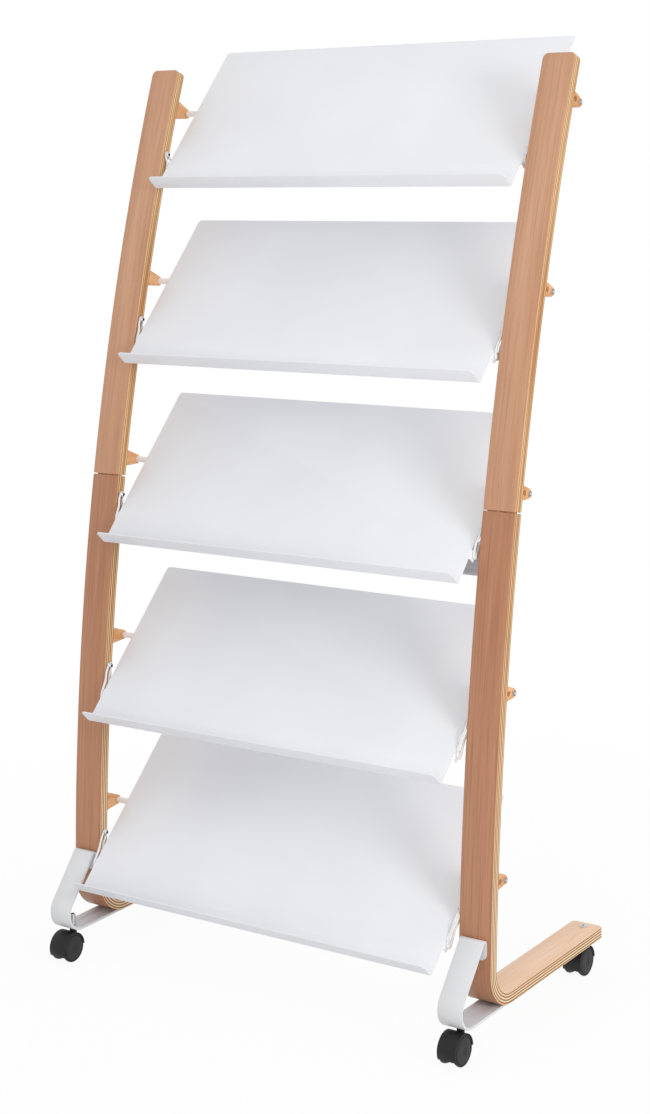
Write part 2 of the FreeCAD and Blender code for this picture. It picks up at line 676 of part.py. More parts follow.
def shelf(number):
    """A folded tray: slope, upturned lip and a tab at each side for the link."""
    body = new_body(f"shelf_{number}")
    sketch = new_sketch(body, "YZ")
    outer = "(Sizes.fold_radius + Sizes.sheet)"
    points = [
        ("0", "Sizes.lip_height"), ("0", outer), (outer, "0"), ("Sizes.shelf_depth", "0"),
        ("Sizes.shelf_depth", "Sizes.sheet"), (outer, "Sizes.sheet"),
        ("Sizes.sheet", outer), ("Sizes.sheet", "Sizes.lip_height"),
    ]
    draw(sketch, points, {1: (outer, 1), 5: ("Sizes.fold_radius", -1)})
    edge = "(Sizes.overall_width / 2 - Sizes.board_width - Sizes.shelf_end_gap)"
    tray = pad(body, sketch, f"2 * {edge}")
    tabs = new_sketch(body, "XZ", "-(Sizes.tab_along + Sizes.tab_width)")
    for sign, turn in (("", 1), ("-", -1)):
        tab = [
            (f"{sign}({edge} - Sizes.fold_radius)", "0"), (f"{sign}({edge})", "0"),
            (f"{sign}({edge} + Sizes.fold_radius)", "-Sizes.fold_radius"),
            (f"{sign}({edge} + Sizes.fold_radius)", "-Sizes.tab_drop"),
            (f"{sign}({edge} + {outer})", "-Sizes.tab_drop"),
            (f"{sign}({edge} + {outer})", "-Sizes.fold_radius"),
            (f"{sign}({edge})", "Sizes.sheet"), (f"{sign}({edge} - Sizes.fold_radius)", "Sizes.sheet"),
        ]
        draw(tabs, tab, {1: ("Sizes.fold_radius", -turn), 5: (outer, turn)})
    folded = pad(body, tabs, "Sizes.tab_width", reverse=False)

    def back_corner(spot, length):
        return near(spot.y, dims.shelf_depth) and near(length, dims.sheet)

    def lip_corner(spot, length):
        return near(spot.z, dims.lip_height) and near(length, dims.sheet)

    rounded = dress(body, "Fillet", folded, back_corner, "Radius", "Sizes.shelf_corner")
    dress(body, "Fillet", rounded, lip_corner, "Radius", "Sizes.lip_corner")
    body.Placement = shelf_place(number)
    rivets = []
    for name, side in SIDES:
        start = side * (shelf_end - dims.overrun)
        spot = shelf_place(number, dims.link_along, -dims.link_drop, start, toward(side))
        length = "Sizes.fold_radius + Sizes.sheet + 2 * Sizes.overrun"
        hole = peg(f"shelf{number}{name}RivetHole", "Sizes.rivet_radius + Sizes.pin_gap", length, spot)
        rivets.append(hole)
    body.Label = f"shelf_{number}_blank"
    drilled(body, rivets, f"shelf_{number}")


tab_face = shelf_end + dims.fold_radius + dims.sheet
link_face = tab_face + dims.link_thickness


def link_span(number):
    """Length and slant of a link, from its rivet to its bolt, in the shelf's frame."""
    along = of_shelf("bolt_along", number) - dims.link_along
    above = of_shelf("bolt_above", number) + dims.link_drop
    return math.hypot(along, above), math.degrees(math.atan2(above, along))


def shelf_link(label, number, side):
    """A flat steel link with round ends and a slot that ends at its bolt."""
    body = new_body(label)
    sketch = new_sketch(body, "YZ")
    length, slant = link_span(number)
    half = "Sizes.link_width / 2"
    bolt = str(length)
    outline = [("0", f"-{half}"), (bolt, f"-{half}"), (bolt, half), ("0", half)]
    draw(sketch, outline, {1: (half, 1), 3: (half, 1)})
    slot = "Sizes.link_slot / 2"
    land = "Sizes.link_land"
    opening = [(land, f"-{slot}"), (bolt, f"-{slot}"), (bolt, slot), (land, slot)]
    draw(sketch, opening, {1: (slot, 1), 3: (slot, 1)})
    draw_circle(sketch, ("0", "0"), "Sizes.rivet_radius + Sizes.pin_gap")
    pad(body, sketch, "Sizes.link_thickness")
    turn = FreeCAD.Rotation(FreeCAD.Vector(1, 0, 0), slant)
    centre = side * (tab_face + dims.link_thickness / 2)
    body.Placement = shelf_place(number, dims.link_along, -dims.link_drop, centre, turn)
    return body


def links():
    for name, side in SIDES:
        members = [shelf_link(f"{name}Link{number}", number, side) for number in SHELVES]
        group(members, f"{name}_shelf_links")


def screw(label, shank, length, head, height):
    """A screw with a low domed head; its seat is at zero and its shank points down."""
    crown = f"({head}) * Sizes.crown_share"
    points = [
        ("0", f"-({length})"), (shank, f"-({length})"), (shank, "0"), (head, "0"),
        (head, f"({height}) * Sizes.rim_share"), (crown, height), ("0", height),
    ]
    return turned(label, points)


def ring(label, outer, inner, height):
    return turned(label, [(inner, "0"), (outer, "0"), (outer, height), (inner, height)])


def link_fittings():
    """Bolt, washer stack and rivet of every link."""
    bolts, spacers, rivets = [], [], []
    for name, side in SIDES:
        inward = toward(-side)
        for number in SHELVES:
            along = of_shelf("bolt_along", number)
            above = of_shelf("bolt_above", number)
            stack = "(Sizes.shelf_end_gap - Sizes.fold_radius - Sizes.sheet - Sizes.link_thickness)"
            shank = f"{stack} + Sizes.link_thickness + Sizes.bolt_bite"
            bolt = screw(
                f"{name}Bolt{number}", "Sizes.bolt_radius", shank,
                "Sizes.bolt_head", "Sizes.bolt_head_height",
            )
            bolt.Placement = shelf_place(number, along, above, side * tab_face, inward)
            bolts.append(bolt)
            hole = "Sizes.bolt_radius + Sizes.pin_gap"
            spacer = ring(f"{name}Spacer{number}", "Sizes.spacer_radius", hole, stack)
            spacer.Placement = shelf_place(number, along, above, side * link_face, toward(side))
            spacers.append(spacer)
            rivets.append(rivet(f"{name}Rivet{number}", number, side))
    group(bolts, "link_bolts")
    group(spacers, "link_spacers")
    group(rivets, "link_rivets")


def rivet(label, number, side):
    """A rivet through tab and link with a low head at both ends."""
    grip = "Sizes.sheet + Sizes.link_thickness"
    points = [
        ("0", "-Sizes.rivet_head_height"), ("Sizes.rivet_head", "-Sizes.rivet_head_height"),
        ("Sizes.rivet_head", "0"), ("Sizes.rivet_radius", "0"), ("Sizes.rivet_radius", grip),
        ("Sizes.rivet_head", grip), ("Sizes.rivet_head", f"{grip} + Sizes.rivet_head_height"),
        ("0", f"{grip} + Sizes.rivet_head_height"),
    ]
    body = turned(label, points)
    start = side * (tab_face - dims.sheet)
    body.Placement = shelf_place(number, dims.link_along, -dims.link_drop, start, toward(side))
    return body


def support_rod(number):
    """A round rod between two ears, drilled at both ends."""
    half = ear_centre - dims.ear_width / 2
    spot = rod_point(number)
    length = "Sizes.overall_width - 2 * Sizes.ear_inset - 2 * Sizes.ear_width"
    bar = peg(f"rod{number}Bar", "Sizes.rod_radius", length, place(spot, ALONG_X, -half))
    holes = []
    for name, side in SIDES:
        start = side * (half - dims.rod_bite - dims.seat_gap)
        depth = "Sizes.rod_bite + Sizes.seat_gap + Sizes.overrun"
        hole = peg(
            f"rod{number}{name}Hole", "Sizes.rod_screw_radius + Sizes.pin_gap", depth,
            place(spot, toward(side), start),
        )
        holes.append(hole)
    drilled(bar, holes, f"support_rod_{number}")


# Ears and their fittings

def ear(name, side, number):
    """A tapered beech block with a round tip, seated on the curved back of the board."""
    body = new_body(f"{name}_ear_{number}")
    sketch = new_sketch(body, "YZ")
    taper = "(Sizes.ear_taper_angle * 1deg)"
    root = f"(Sizes.ear_tip_radius / cos({taper}) + Sizes.ear_reach * tan({taper}))"
    seat = "(Sizes.rake_radius - Sizes.board_thickness)"
    sag = f"({seat} - sqrt({seat} * {seat} - {root} * {root}))"
    tip = f"Sizes.ear_reach + Sizes.ear_tip_radius * sin({taper})"
    half = f"Sizes.ear_tip_radius * cos({taper})"
    points = [(sag, f"-{root}"), (tip, f"-({half})"), (tip, half), (sag, root)]
    draw(sketch, points, {1: ("Sizes.ear_tip_radius", 1), 3: (seat, 1)})
    block = pad(body, sketch, "Sizes.ear_width")

    def side_edge(spot, length):
        return near(abs(spot.x), dims.ear_width / 2) and spot.y > dims.ear_chamfer

    dress(body, "Chamfer", block, side_edge, "Size", "Sizes.ear_chamfer")
    across = new_sketch(body, "YZ")
    draw_circle(across, ("Sizes.ear_reach", "0"), "Sizes.rod_screw_radius + Sizes.pin_gap")
    pocket(body, across, "Sizes.ear_width + 2 * Sizes.overrun")
    outer_side = f"{side} * Sizes.ear_width / 2"
    blind = new_sketch(body, "YZ", outer_side)
    draw_circle(blind, ("Sizes.barrel_reach", "0"), "Sizes.barrel_radius + Sizes.pin_gap")
    pocket(body, blind, "Sizes.ear_width - Sizes.barrel_cover", reverse=side < 0)
    bore = new_sketch(body, "XZ", "Sizes.overrun")
    draw_circle(bore, ("0", "0"), "Sizes.stud_radius + Sizes.pin_gap")
    pocket(body, bore, "Sizes.barrel_reach + Sizes.overrun", reverse=False)
    station = rod_station(number)
    spot = on_rake(station, dims.board_thickness)
    body.Placement = place(spot, rake_turn(station), side * ear_centre)
    keep(body, f"{name}_ear_{number}")


def ear_fittings():
    """Rod screws, cross nuts and studs of every ear."""
    screws, nuts, studs = [], [], []
    for name, side in SIDES:
        for number in SHELVES:
            station = rod_station(number)
            turn = rake_turn(station)
            end = screw(
                f"{name}RodScrew{number}", "Sizes.rod_screw_radius", "Sizes.ear_width + Sizes.rod_bite",
                "Sizes.rod_screw_head", "Sizes.rod_head_height",
            )
            outer = side * (ear_centre + dims.ear_width / 2)
            end.Placement = place(rod_point(number), toward(side), outer)
            screws.append(end)
            nuts.append(cross_nut(f"{name}CrossNut{number}", station, side))
            spot = on_rake(station, dims.board_thickness - dims.stud_bite)
            length = "Sizes.stud_bite + Sizes.barrel_reach + Sizes.stud_past_axis"
            place_here = place(spot, turn * BACKWARD, side * ear_centre)
            studs.append(peg(f"{name}Stud{number}", "Sizes.stud_radius", length, place_here))
    group(screws, "rod_screws")
    group(nuts, "ear_barrel_nuts")
    group(studs, "ear_studs")


def cross_nut(label, station, side):
    """A short steel cylinder lying across the ear, drilled for the stud."""
    turn = rake_turn(station)
    spot = on_rake(station, dims.board_thickness + dims.barrel_reach)
    start = side * (ear_centre - dims.ear_width / 2 + dims.barrel_cover)
    here = place(spot, toward(side), start)
    barrel = peg(label + "Bar", "Sizes.barrel_radius", "Sizes.barrel_length", here)
    entry = on_rake(station, dims.board_thickness + dims.barrel_reach - dims.barrel_radius - dims.overrun)
    length = "Sizes.overrun + Sizes.barrel_radius + Sizes.stud_past_axis + Sizes.seat_gap"
    hole = peg(
        label + "Hole", "Sizes.stud_radius + Sizes.pin_gap", length,
        place(entry, turn * BACKWARD, side * ear_centre),
    )
    cut = doc.addObject("Part::Cut", label)
    cut.Base = barrel
    cut.Tool = hole
    return cut


# Cross brace

def cross_brace():
    """A folded steel channel across the backs of both uprights, below the joint."""
    body = new_body("cross_brace")
    outline = new_sketch(body, "YZ")
    half = "Sizes.brace_height / 2"
    wall = "Sizes.brace_sheet"
    deep = "Sizes.brace_return"
    outer = f"({wall} + Sizes.fold_radius)"
    points = [
        (deep, f"-{half}"), (deep, f"{wall} - {half}"), (outer, f"{wall} - {half}"),
        (wall, f"{outer} - {half}"), (wall, f"{half} - {outer}"), (outer, f"{half} - {wall}"),
        (deep, f"{half} - {wall}"), (deep, half), (outer, half),
        ("0", f"{half} - {outer}"), ("0", f"{outer} - {half}"), (outer, f"-{half}"),
    ]
    bends = {2: ("Sizes.fold_radius", -1), 4: ("Sizes.fold_radius", -1), 8: (outer, 1), 10: (outer, 1)}
    draw(outline, points, bends)
    pad(body, outline, "Sizes.overall_width - 2 * Sizes.board_width + 2 * Sizes.brace_overlap")
    turn = rake_turn(brace_station)
    body.Placement = place(on_rake(brace_station, brace_depth()), turn)
    body.Label = "cross_brace_blank"
    holes = []
    screws = []
    for name, side in SIDES:
        for index, offset in enumerate(BRACE_OFFSETS):
            holes.append(brace_hole(f"brace{name}Hole{index}", side, offset))
            item = screw(
                f"brace{name}Screw{index}", "Sizes.brace_screw_radius",
                "Sizes.brace_bite + Sizes.brace_sheet", "Sizes.brace_screw_head", "Sizes.brace_head_height",
            )
            spot = brace_spot(offset, brace_depth() + dims.brace_sheet)
            item.Placement = place(spot, turn * BACKWARD, side * (board_inner + dims.brace_overlap / 2))
            screws.append(item)
    drilled(body, holes, "cross_brace")
    group(screws, "brace_screws")


# Front straps

def strap_path():
    """The strap's middle line in the plane of one board: points and the radii of its two bends."""
    half = dims.strap_thickness / 2
    rise = math.radians(dims.strap_rise_angle)
    up = FreeCAD.Vector(math.sin(rise), math.cos(rise), 0)
    outward = FreeCAD.Vector(-math.cos(rise), math.sin(rise), 0)
    floor = dims.foot_height - dims.strap_thickness
    bend = FreeCAD.Vector(dims.strap_bend - dims.strap_reach, floor + dims.strap_bend, 0)
    bend_line = dims.strap_bend - half
    fold_line = dims.strap_fold + half
    leave = bend + outward * bend_line
    station, lean = tab_station(leave, up)
    face = on_rake(station, 0)
    down = FreeCAD.Vector(-math.sin(lean), -math.cos(lean), 0)
    ahead = FreeCAD.Vector(-math.cos(lean), math.sin(lean), 0)
    tab = FreeCAD.Vector(face.y, face.z, 0) + ahead * half
    centre = fold_centre(leave, up, outward, tab, down, ahead, fold_line)
    points = [
        FreeCAD.Vector(dims.strap_tail, floor + half, 0),
        FreeCAD.Vector(bend.x, floor + half, 0),
        leave,
        centre + outward * fold_line,
        centre - ahead * fold_line,
    ]
    points.append(points[-1] + down * dims.strap_tab)
    return points, bend_line, fold_line


def tab_station(leave, up):
    """Where the rising run meets the board's front face."""
    station, before = 0, dims.overrun
    while not near(station, before):
        before = station
        face = on_rake(station, 0)
        height = leave.y + (face.y - leave.x) / up.x * up.y
        station = height - on_rake(0, 0).z - dims.strap_tab / 2
    return station, lean_at(station)


def fold_centre(leave, up, outward, tab, down, ahead, radius):
    """Centre of the fold that touches the rising run and the run down the board."""
    first = leave - outward * radius
    second = tab + ahead * radius
    gap = second - first
    cross = up.x * down.y - up.y * down.x
    step = (gap.x * down.y - gap.y * down.x) / cross
    return first + up * step


def front_strap(name, side):
    """A steel strap: under the foot, round the front bend, up to the board and down against it."""
    label = f"{name}_front_strap"
    body = new_body(label)
    points, bend_line, fold_line = strap_path()
    path = new_sketch(body, "YZ")
    spots = [(str(spot.x), str(spot.y)) for spot in points]
    bends = {
        1: ("Sizes.strap_bend - Sizes.strap_thickness / 2", -1),
        3: ("Sizes.strap_fold + Sizes.strap_thickness / 2", -1),
    }
    draw(path, spots, bends, closed=False)
    section = new_sketch(body, "XZ", "-Sizes.strap_tail")
    low = "Sizes.foot_height - Sizes.strap_thickness"
    draw_box(section, "Sizes.strap_width / 2", low, "Sizes.foot_height")
    strip = pipe(body, section, path)
    end = points[-1]

    def end_corner(spot, length):
        level = math.hypot(spot.y - end.x, spot.z - end.y) < dims.strap_thickness
        return level and near(length, dims.strap_thickness)

    dress(body, "Fillet", strip, end_corner, "Radius", "Sizes.strap_corner")
    body.Placement = place(FreeCAD.Vector(), UPRIGHT, side * board_centre)
    body.Label = label + "_blank"
    holes = [strap_hole(f"{name}StrapClear{index}", side, back) for index, back in enumerate(STRAP_SCREWS)]
    low_point = dims.foot_height - dims.strap_thickness - dims.overrun
    spot = FreeCAD.Vector(0, -dims.front_stem_reach, low_point)
    length = "Sizes.strap_thickness + 2 * Sizes.overrun"
    stem_place = place(spot, UPRIGHT, side * board_centre)
    holes.append(peg(f"{name}StrapStemHole", "Sizes.stem_radius + Sizes.pin_gap", length, stem_place))
    drilled(body, holes, label)


def strap_fittings():
    screws = []
    for name, side in SIDES:
        for index, back in enumerate(STRAP_SCREWS):
            length = "Sizes.strap_thickness + Sizes.strap_bite"
            item = screw(
                f"{name}StrapScrew{index}", "Sizes.strap_screw_radius", length,
                "Sizes.strap_screw_head", "Sizes.strap_head_height",
            )
            spot = FreeCAD.Vector(0, back, dims.foot_height - dims.strap_thickness)
            item.Placement = place(spot, DOWNWARD, side * board_centre)
            screws.append(item)
    group(screws, "strap_screws")


def tongue_fittings():
    screws = []
    for name, side in SIDES:
        for half_name, offset in TONGUE_HOLES:
            station = joint_station + offset
            length = "(Sizes.board_thickness + Sizes.tongue_thickness) / 2"
            item = screw(
                f"{name}TongueScrew{half_name}", "Sizes.tongue_screw_radius", length,
                "Sizes.tongue_screw_head", "Sizes.tongue_head_height",
            )
            spot = on_rake(station, dims.board_thickness)
            item.Placement = place(spot, rake_turn(station) * BACKWARD, side * board_centre)
            screws.append(item)
    group(screws, "tongue_screws")


# Casters

def caster_place(side, rear):
    back = foot_end - dims.rear_stem_inset if rear else -dims.front_stem_reach
    return place(FreeCAD.Vector(0, back, 0), UPRIGHT, side * board_centre)


HOOD_TOP = "Sizes.wheel_radius + Sizes.hood_radius"


def caster_stem(label, side, rear):
    """A stepped stem: thread above the collar, smooth journal below it."""
    seat = "Sizes.foot_height" if rear else "Sizes.foot_height - Sizes.strap_thickness"
    cap = "Sizes.foot_height + Sizes.board_thickness + Sizes.nut_height"
    if not rear:
        cap = "Sizes.foot_height + Sizes.sleeve_height"
    end = f"{cap} - Sizes.stem_below_top"
    bottom = f"{HOOD_TOP} - Sizes.journal_depth"
    collar = f"{HOOD_TOP} + Sizes.swivel_gap"
    points = [
        ("0", bottom), ("Sizes.journal_radius", bottom), ("Sizes.journal_radius", collar),
        ("Sizes.collar_radius", collar), ("Sizes.collar_radius", seat), ("Sizes.stem_radius", seat),
        ("Sizes.stem_radius", end), ("0", end),
    ]
    body = turned(label, points)
    body.Placement = caster_place(side, rear)
    keep(body, label)


def caster_hood(label, side, rear):
    """A moulded hood over both wheels, its web and axle between them and its swivel boss behind."""
    body = new_body(label)
    sketch = new_sketch(body, "YZ")
    axle = ("-Sizes.caster_trail", "Sizes.wheel_radius")
    start = "(Sizes.hood_start_angle * 1deg)"
    front = (
        f"{axle[0]} - Sizes.hood_radius * cos({start})",
        f"{axle[1]} - Sizes.hood_radius * sin({start})",
    )
    crown = (axle[0], f"{axle[1]} + Sizes.hood_radius")
    back = (f"{axle[0]} + Sizes.hood_radius", axle[1])
    draw(sketch, [front, crown, back, axle], {0: ("Sizes.hood_radius", -1), 1: ("Sizes.hood_radius", -1)})
    pad(body, sketch, "Sizes.caster_width")
    boss = new_sketch(body, "XY", "Sizes.wheel_radius")
    draw_circle(boss, ("0", "0"), "Sizes.hood_boss")
    pad(body, boss, "Sizes.hood_radius", reverse=False)
    for sign in ("", "-"):
        well = new_sketch(body, "YZ", f"{sign}(Sizes.web_thickness / 2)")
        draw_circle(well, axle, "Sizes.wheel_radius + Sizes.running_gap")
        pocket(body, well, "Sizes.caster_width", reverse=sign == "")
    hub = new_sketch(body, "YZ")
    draw_circle(hub, axle, "Sizes.hub_radius")
    pad(body, hub, "Sizes.web_thickness")
    pin = new_sketch(body, "YZ")
    draw_circle(pin, axle, "Sizes.axle_radius")
    pad(body, pin, "Sizes.caster_width - 2 * Sizes.running_gap - 2 * Sizes.axle_end")
    socket = new_sketch(body, "XY", HOOD_TOP)
    draw_circle(socket, ("0", "0"), "Sizes.journal_radius + Sizes.pin_gap")
    pocket(body, socket, "Sizes.journal_depth + Sizes.seat_gap", reverse=False)
    body.Placement = caster_place(side, rear)
    keep(body, label)


def caster_wheel(label, side, rear, hand):
    """A wheel with a slightly hollow outer face and a blind bore from its inner side."""
    inner = "(Sizes.web_thickness / 2 + Sizes.running_gap)"
    outer = "(Sizes.caster_width / 2 - Sizes.running_gap)"
    bore = "Sizes.axle_radius + Sizes.pin_gap"
    floor = f"{outer} - Sizes.axle_end + Sizes.running_gap"
    points = [
        (bore, inner), ("Sizes.wheel_radius", inner), ("Sizes.wheel_radius", f"{outer} - Sizes.wheel_bevel"),
        ("Sizes.wheel_radius - Sizes.wheel_bevel", outer), ("0", f"{outer} - Sizes.wheel_dish"),
        ("0", floor), (bore, floor),
    ]
    body = turned(label, points)
    spot = FreeCAD.Vector(0, -dims.caster_trail, dims.wheel_radius)
    turn = toward(hand)
    body.Placement = caster_place(side, rear) * FreeCAD.Placement(spot, turn)
    keep(body, label)


def casters():
    for end, rear in CORNERS:
        for name, side in SIDES:
            corner = f"{end}_{name}_caster"
            caster_stem(corner + "_stem", side, rear)
            caster_hood(corner + "_hood", side, rear)
            for hand_name, hand in SIDES:
                caster_wheel(f"{corner}_wheel_{hand_name}", side, rear, hand)


def stem_fittings():
    """Threaded sleeve over each front stem and round nut on each rear stem."""
    sleeves, nuts = [], []
    for name, side in SIDES:
        hole = "Sizes.stem_radius + Sizes.pin_gap"
        bevel = "Sizes.sleeve_bevel"
        points = [
            (hole, "0"), (f"Sizes.sleeve_radius - {bevel}", "0"), ("Sizes.sleeve_radius", bevel),
            ("Sizes.sleeve_radius", "Sizes.sleeve_height"), (hole, "Sizes.sleeve_height"),
        ]
        sleeve = turned(f"{name}Sleeve", points)
        spot = FreeCAD.Vector(0, -dims.front_stem_reach, dims.foot_height + dims.swivel_gap)
        sleeve.Placement = place(spot, UPRIGHT, side * board_centre)
        sleeves.append(sleeve)
        nut = ring(f"{name}Nut", "Sizes.nut_radius", hole, "Sizes.nut_height")
        spot = FreeCAD.Vector(0, foot_end - dims.rear_stem_inset, dims.foot_height + dims.board_thickness)
        nut.Placement = place(spot, UPRIGHT, side * board_centre)
        nuts.append(nut)
    group(sleeves, "stem_sleeves")
    group(nuts, "stem_nuts")


# Whole stand

def build():
    for name, side in SIDES:
        upright(name, side)
        tongue(f"{name}_joint_tongue", side)
        front_strap(name, side)
        for number in SHELVES:
            ear(name, side, number)
    tongue_fittings()
    cross_brace()
    for number in SHELVES:
        shelf(number)
        support_rod(number)
    links()
    link_fittings()
    ear_fittings()
    strap_fittings()
    stem_fittings()
    casters()


def check():
    """Every object is healthy and every finished shape is a valid solid or group of solids."""
    doc.recompute()
    for item in doc.Objects:
        if "Invalid" in item.State or "Error" in item.State:
            raise RuntimeError(f"{item.Label} is {item.State}")
    for item in nodes:
        if item.Shape.isNull() or not item.Shape.isValid() or not item.Shape.Solids:
            raise RuntimeError(f"{item.Label} has no valid shape")


def write():
    os.makedirs("parts", exist_ok=True)
    for item in nodes:
        item.Shape.exportStep(f"parts/{item.Label}.step")
        box = item.Shape.BoundBox
        low = f"{box.XMin:.1f} {box.YMin:.1f} {box.ZMin:.1f}"
        high = f"{box.XMax:.1f} {box.YMax:.1f} {box.ZMax:.1f}"
        print(f"{item.Label}: {len(item.Shape.Solids)} solids, {item.Shape.Volume:.1f} mm3, {low} to {high}")


build()
check()
write()
print(len(nodes), "nodes")
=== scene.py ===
# %% [markdown]
# # A tiered brochure stand
# Two bent plywood uprights stand on casters and carry five sloping steel
# shelves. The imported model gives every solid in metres; this lesson lights it,
# aims a camera at it, finishes its surfaces and remakes the boards, the
# casters and the small hardware with the detail that a close look needs.

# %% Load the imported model
import math

import bmesh
import bpy
import numpy as np
from mathutils import Matrix, Vector


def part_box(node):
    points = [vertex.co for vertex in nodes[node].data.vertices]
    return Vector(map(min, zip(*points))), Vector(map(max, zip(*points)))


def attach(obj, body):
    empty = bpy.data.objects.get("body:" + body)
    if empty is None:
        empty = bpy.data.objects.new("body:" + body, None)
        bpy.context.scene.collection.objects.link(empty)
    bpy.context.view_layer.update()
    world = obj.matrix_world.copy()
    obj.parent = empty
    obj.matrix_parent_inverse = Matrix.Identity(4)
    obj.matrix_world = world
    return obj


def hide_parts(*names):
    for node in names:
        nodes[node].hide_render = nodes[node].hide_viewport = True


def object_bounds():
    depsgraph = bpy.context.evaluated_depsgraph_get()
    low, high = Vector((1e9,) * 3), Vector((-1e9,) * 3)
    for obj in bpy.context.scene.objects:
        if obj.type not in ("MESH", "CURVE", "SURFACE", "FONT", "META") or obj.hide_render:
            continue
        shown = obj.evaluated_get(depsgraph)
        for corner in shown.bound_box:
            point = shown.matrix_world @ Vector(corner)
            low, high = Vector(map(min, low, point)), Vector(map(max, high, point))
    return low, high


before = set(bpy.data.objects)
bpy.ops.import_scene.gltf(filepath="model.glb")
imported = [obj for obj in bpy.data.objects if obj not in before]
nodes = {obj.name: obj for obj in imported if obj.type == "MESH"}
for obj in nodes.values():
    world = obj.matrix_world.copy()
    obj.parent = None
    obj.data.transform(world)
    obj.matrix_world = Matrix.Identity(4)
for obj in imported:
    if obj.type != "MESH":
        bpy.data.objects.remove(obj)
model_low, model_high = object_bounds()
MM = 0.001
SAME_PLACE = 1e-6
SIDES = (("left", -1), ("right", 1))
SHELVES = range(1, 6)

# %% [markdown]
# ## Camera
# The stand was seen from its right front, from just below the height of its
# top, with a long lens. A level camera would be simpler, but the verticals of
# the picture lean slightly, so the roll is kept too. The shift puts the stand
# where the picture has it without turning the camera.

# %% Aim the camera
TURN, DIP, ROLL = (math.radians(angle) for angle in (34.466, 8.938, -1.443))
CAMERA_PLACE = (1.9115, -2.7101, 1.3795)
FOCAL_LENGTH, SENSOR_WIDTH = 67.32, 36
SHIFT_ACROSS, SHIFT_UP = -0.0158, -0.0928
NEAREST, FARTHEST = 0.05, 60


def added(name, data):
    """A new object that holds the data, in the scene."""
    holder = bpy.data.objects.new(name, data)
    bpy.context.scene.collection.objects.link(holder)
    return holder


def aim_camera():
    forward = math.cos(DIP)
    ahead = Vector((-math.sin(TURN) * forward, math.cos(TURN) * forward, -math.sin(DIP)))
    level = Vector((math.cos(TURN), math.sin(TURN), 0))
    upward = level.cross(ahead)
    right = level * math.cos(ROLL) + upward * math.sin(ROLL)
    up = upward * math.cos(ROLL) - level * math.sin(ROLL)
    lens = bpy.data.cameras.new("view")
    lens.lens, lens.sensor_width = FOCAL_LENGTH, SENSOR_WIDTH
    lens.shift_x, lens.shift_y = SHIFT_ACROSS, SHIFT_UP
    lens.clip_start, lens.clip_end = NEAREST, FARTHEST
    camera = added("view", lens)
    turn = Matrix((right, up, -ahead)).transposed().to_4x4()
    camera.matrix_world = Matrix.Translation(CAMERA_PLACE) @ turn
    bpy.context.scene.camera = camera
    print("camera at", [round(number, 3) for number in camera.matrix_world.translation])


aim_camera()

# %% [markdown]
# ## Nodes written as sums
# Materials and Geometry Nodes are both graphs of small operations. Placing
# every node by hand is slow to read, so this class wraps a socket and lets
# Python's own operators add the Math nodes.

# %% A socket that can be added and multiplied


class Wire:
    """One output socket of a graph."""

    def __init__(self, graph, socket):
        self.graph, self.socket = graph, socket

    def out(self, key):
        """Another output of the same node."""
        return Wire(self.graph, self.socket.node.outputs[key])

    def math(self, operation, *others):
        return self.graph.math(operation, self, *others)

    def __add__(self, other):
        return self.graph.math("ADD", self, other)

    def __radd__(self, other):
        return self.graph.math("ADD", other, self)

    def __sub__(self, other):
        return self.graph.math("SUBTRACT", self, other)

    def __rsub__(self, other):
        return self.graph.math("SUBTRACT", other, self)

    def __mul__(self, other):
        return self.graph.math("MULTIPLY", self, other)

    def __rmul__(self, other):
        return self.graph.math("MULTIPLY", other, self)

    def __truediv__(self, other):
        return self.graph.math("DIVIDE", self, other)

    def __rtruediv__(self, other):
        return self.graph.math("DIVIDE", other, self)

    def __mod__(self, other):
        return self.graph.math("FLOORED_MODULO", self, other)

    def __gt__(self, other):
        return self.graph.math("GREATER_THAN", self, other)

    def __lt__(self, other):
        return self.graph.math("LESS_THAN", self, other)


print("operators ready")

# %% [markdown]
# ## A graph that grows by calls
# Nodes that have no operator, such as noise or a colour mix, still need a call
# each. One method adds any node from its type, its settings and the values
# or links of its sockets, so a whole finish reads as a few lines.

# %% A graph and its nodes


class Graph:
    """A node tree that grows by calls."""

    def __init__(self, tree):
        self.tree = tree

    def add(self, kind, settings=None, values=None):
        """A node of one type: its settings first, then its sockets' values or links."""
        node = self.tree.nodes.new(kind)
        for name, setting in (settings or {}).items():
            setattr(node, name, setting)
        for key, given in (values or {}).items():
            if isinstance(given, Wire):
                self.tree.links.new(given.socket, node.inputs[key])
            else:
                node.inputs[key].default_value = given
        return Wire(self, node.outputs[0]) if node.outputs else node

    def math(self, operation, *numbers):
        return self.add("ShaderNodeMath", {"operation": operation}, dict(enumerate(numbers)))

    def vector_math(self, operation, *vectors):
        return self.add("ShaderNodeVectorMath", {"operation": operation}, dict(enumerate(vectors)))

    def join(self, across, deep, up):
        return self.add("ShaderNodeCombineXYZ", {}, {0: across, 1: deep, 2: up})

    def parts(self, vector):
        """The three numbers of a vector."""
        split = self.add("ShaderNodeSeparateXYZ", {}, {0: vector})
        return split.out(0), split.out(1), split.out(2)


print("graph ready")

# %% [markdown]
# ## Colour and grain helpers
# Nearly every finish below is grown from noise in the object's own coordinates,
# so it stays put when the stand moves and needs no pictures. Noise is stretched
# by multiplying the coordinates: a large factor makes short detail.

# %% Colours, noise and blends
MIX_SHARE, MIX_FIRST, MIX_SECOND, MIX_RESULT = 0, 6, 7, 2


def paint(red, green, blue):
    """A colour as a screen shows it, from 0 to 255, turned into light by the sRGB rule."""
    shares = [number / 255 for number in (red, green, blue)]
    light = [s / 12.92 if s <= 0.04045 else ((s + 0.055) / 1.055) ** 2.4 for s in shares]
    return (*light, 1)


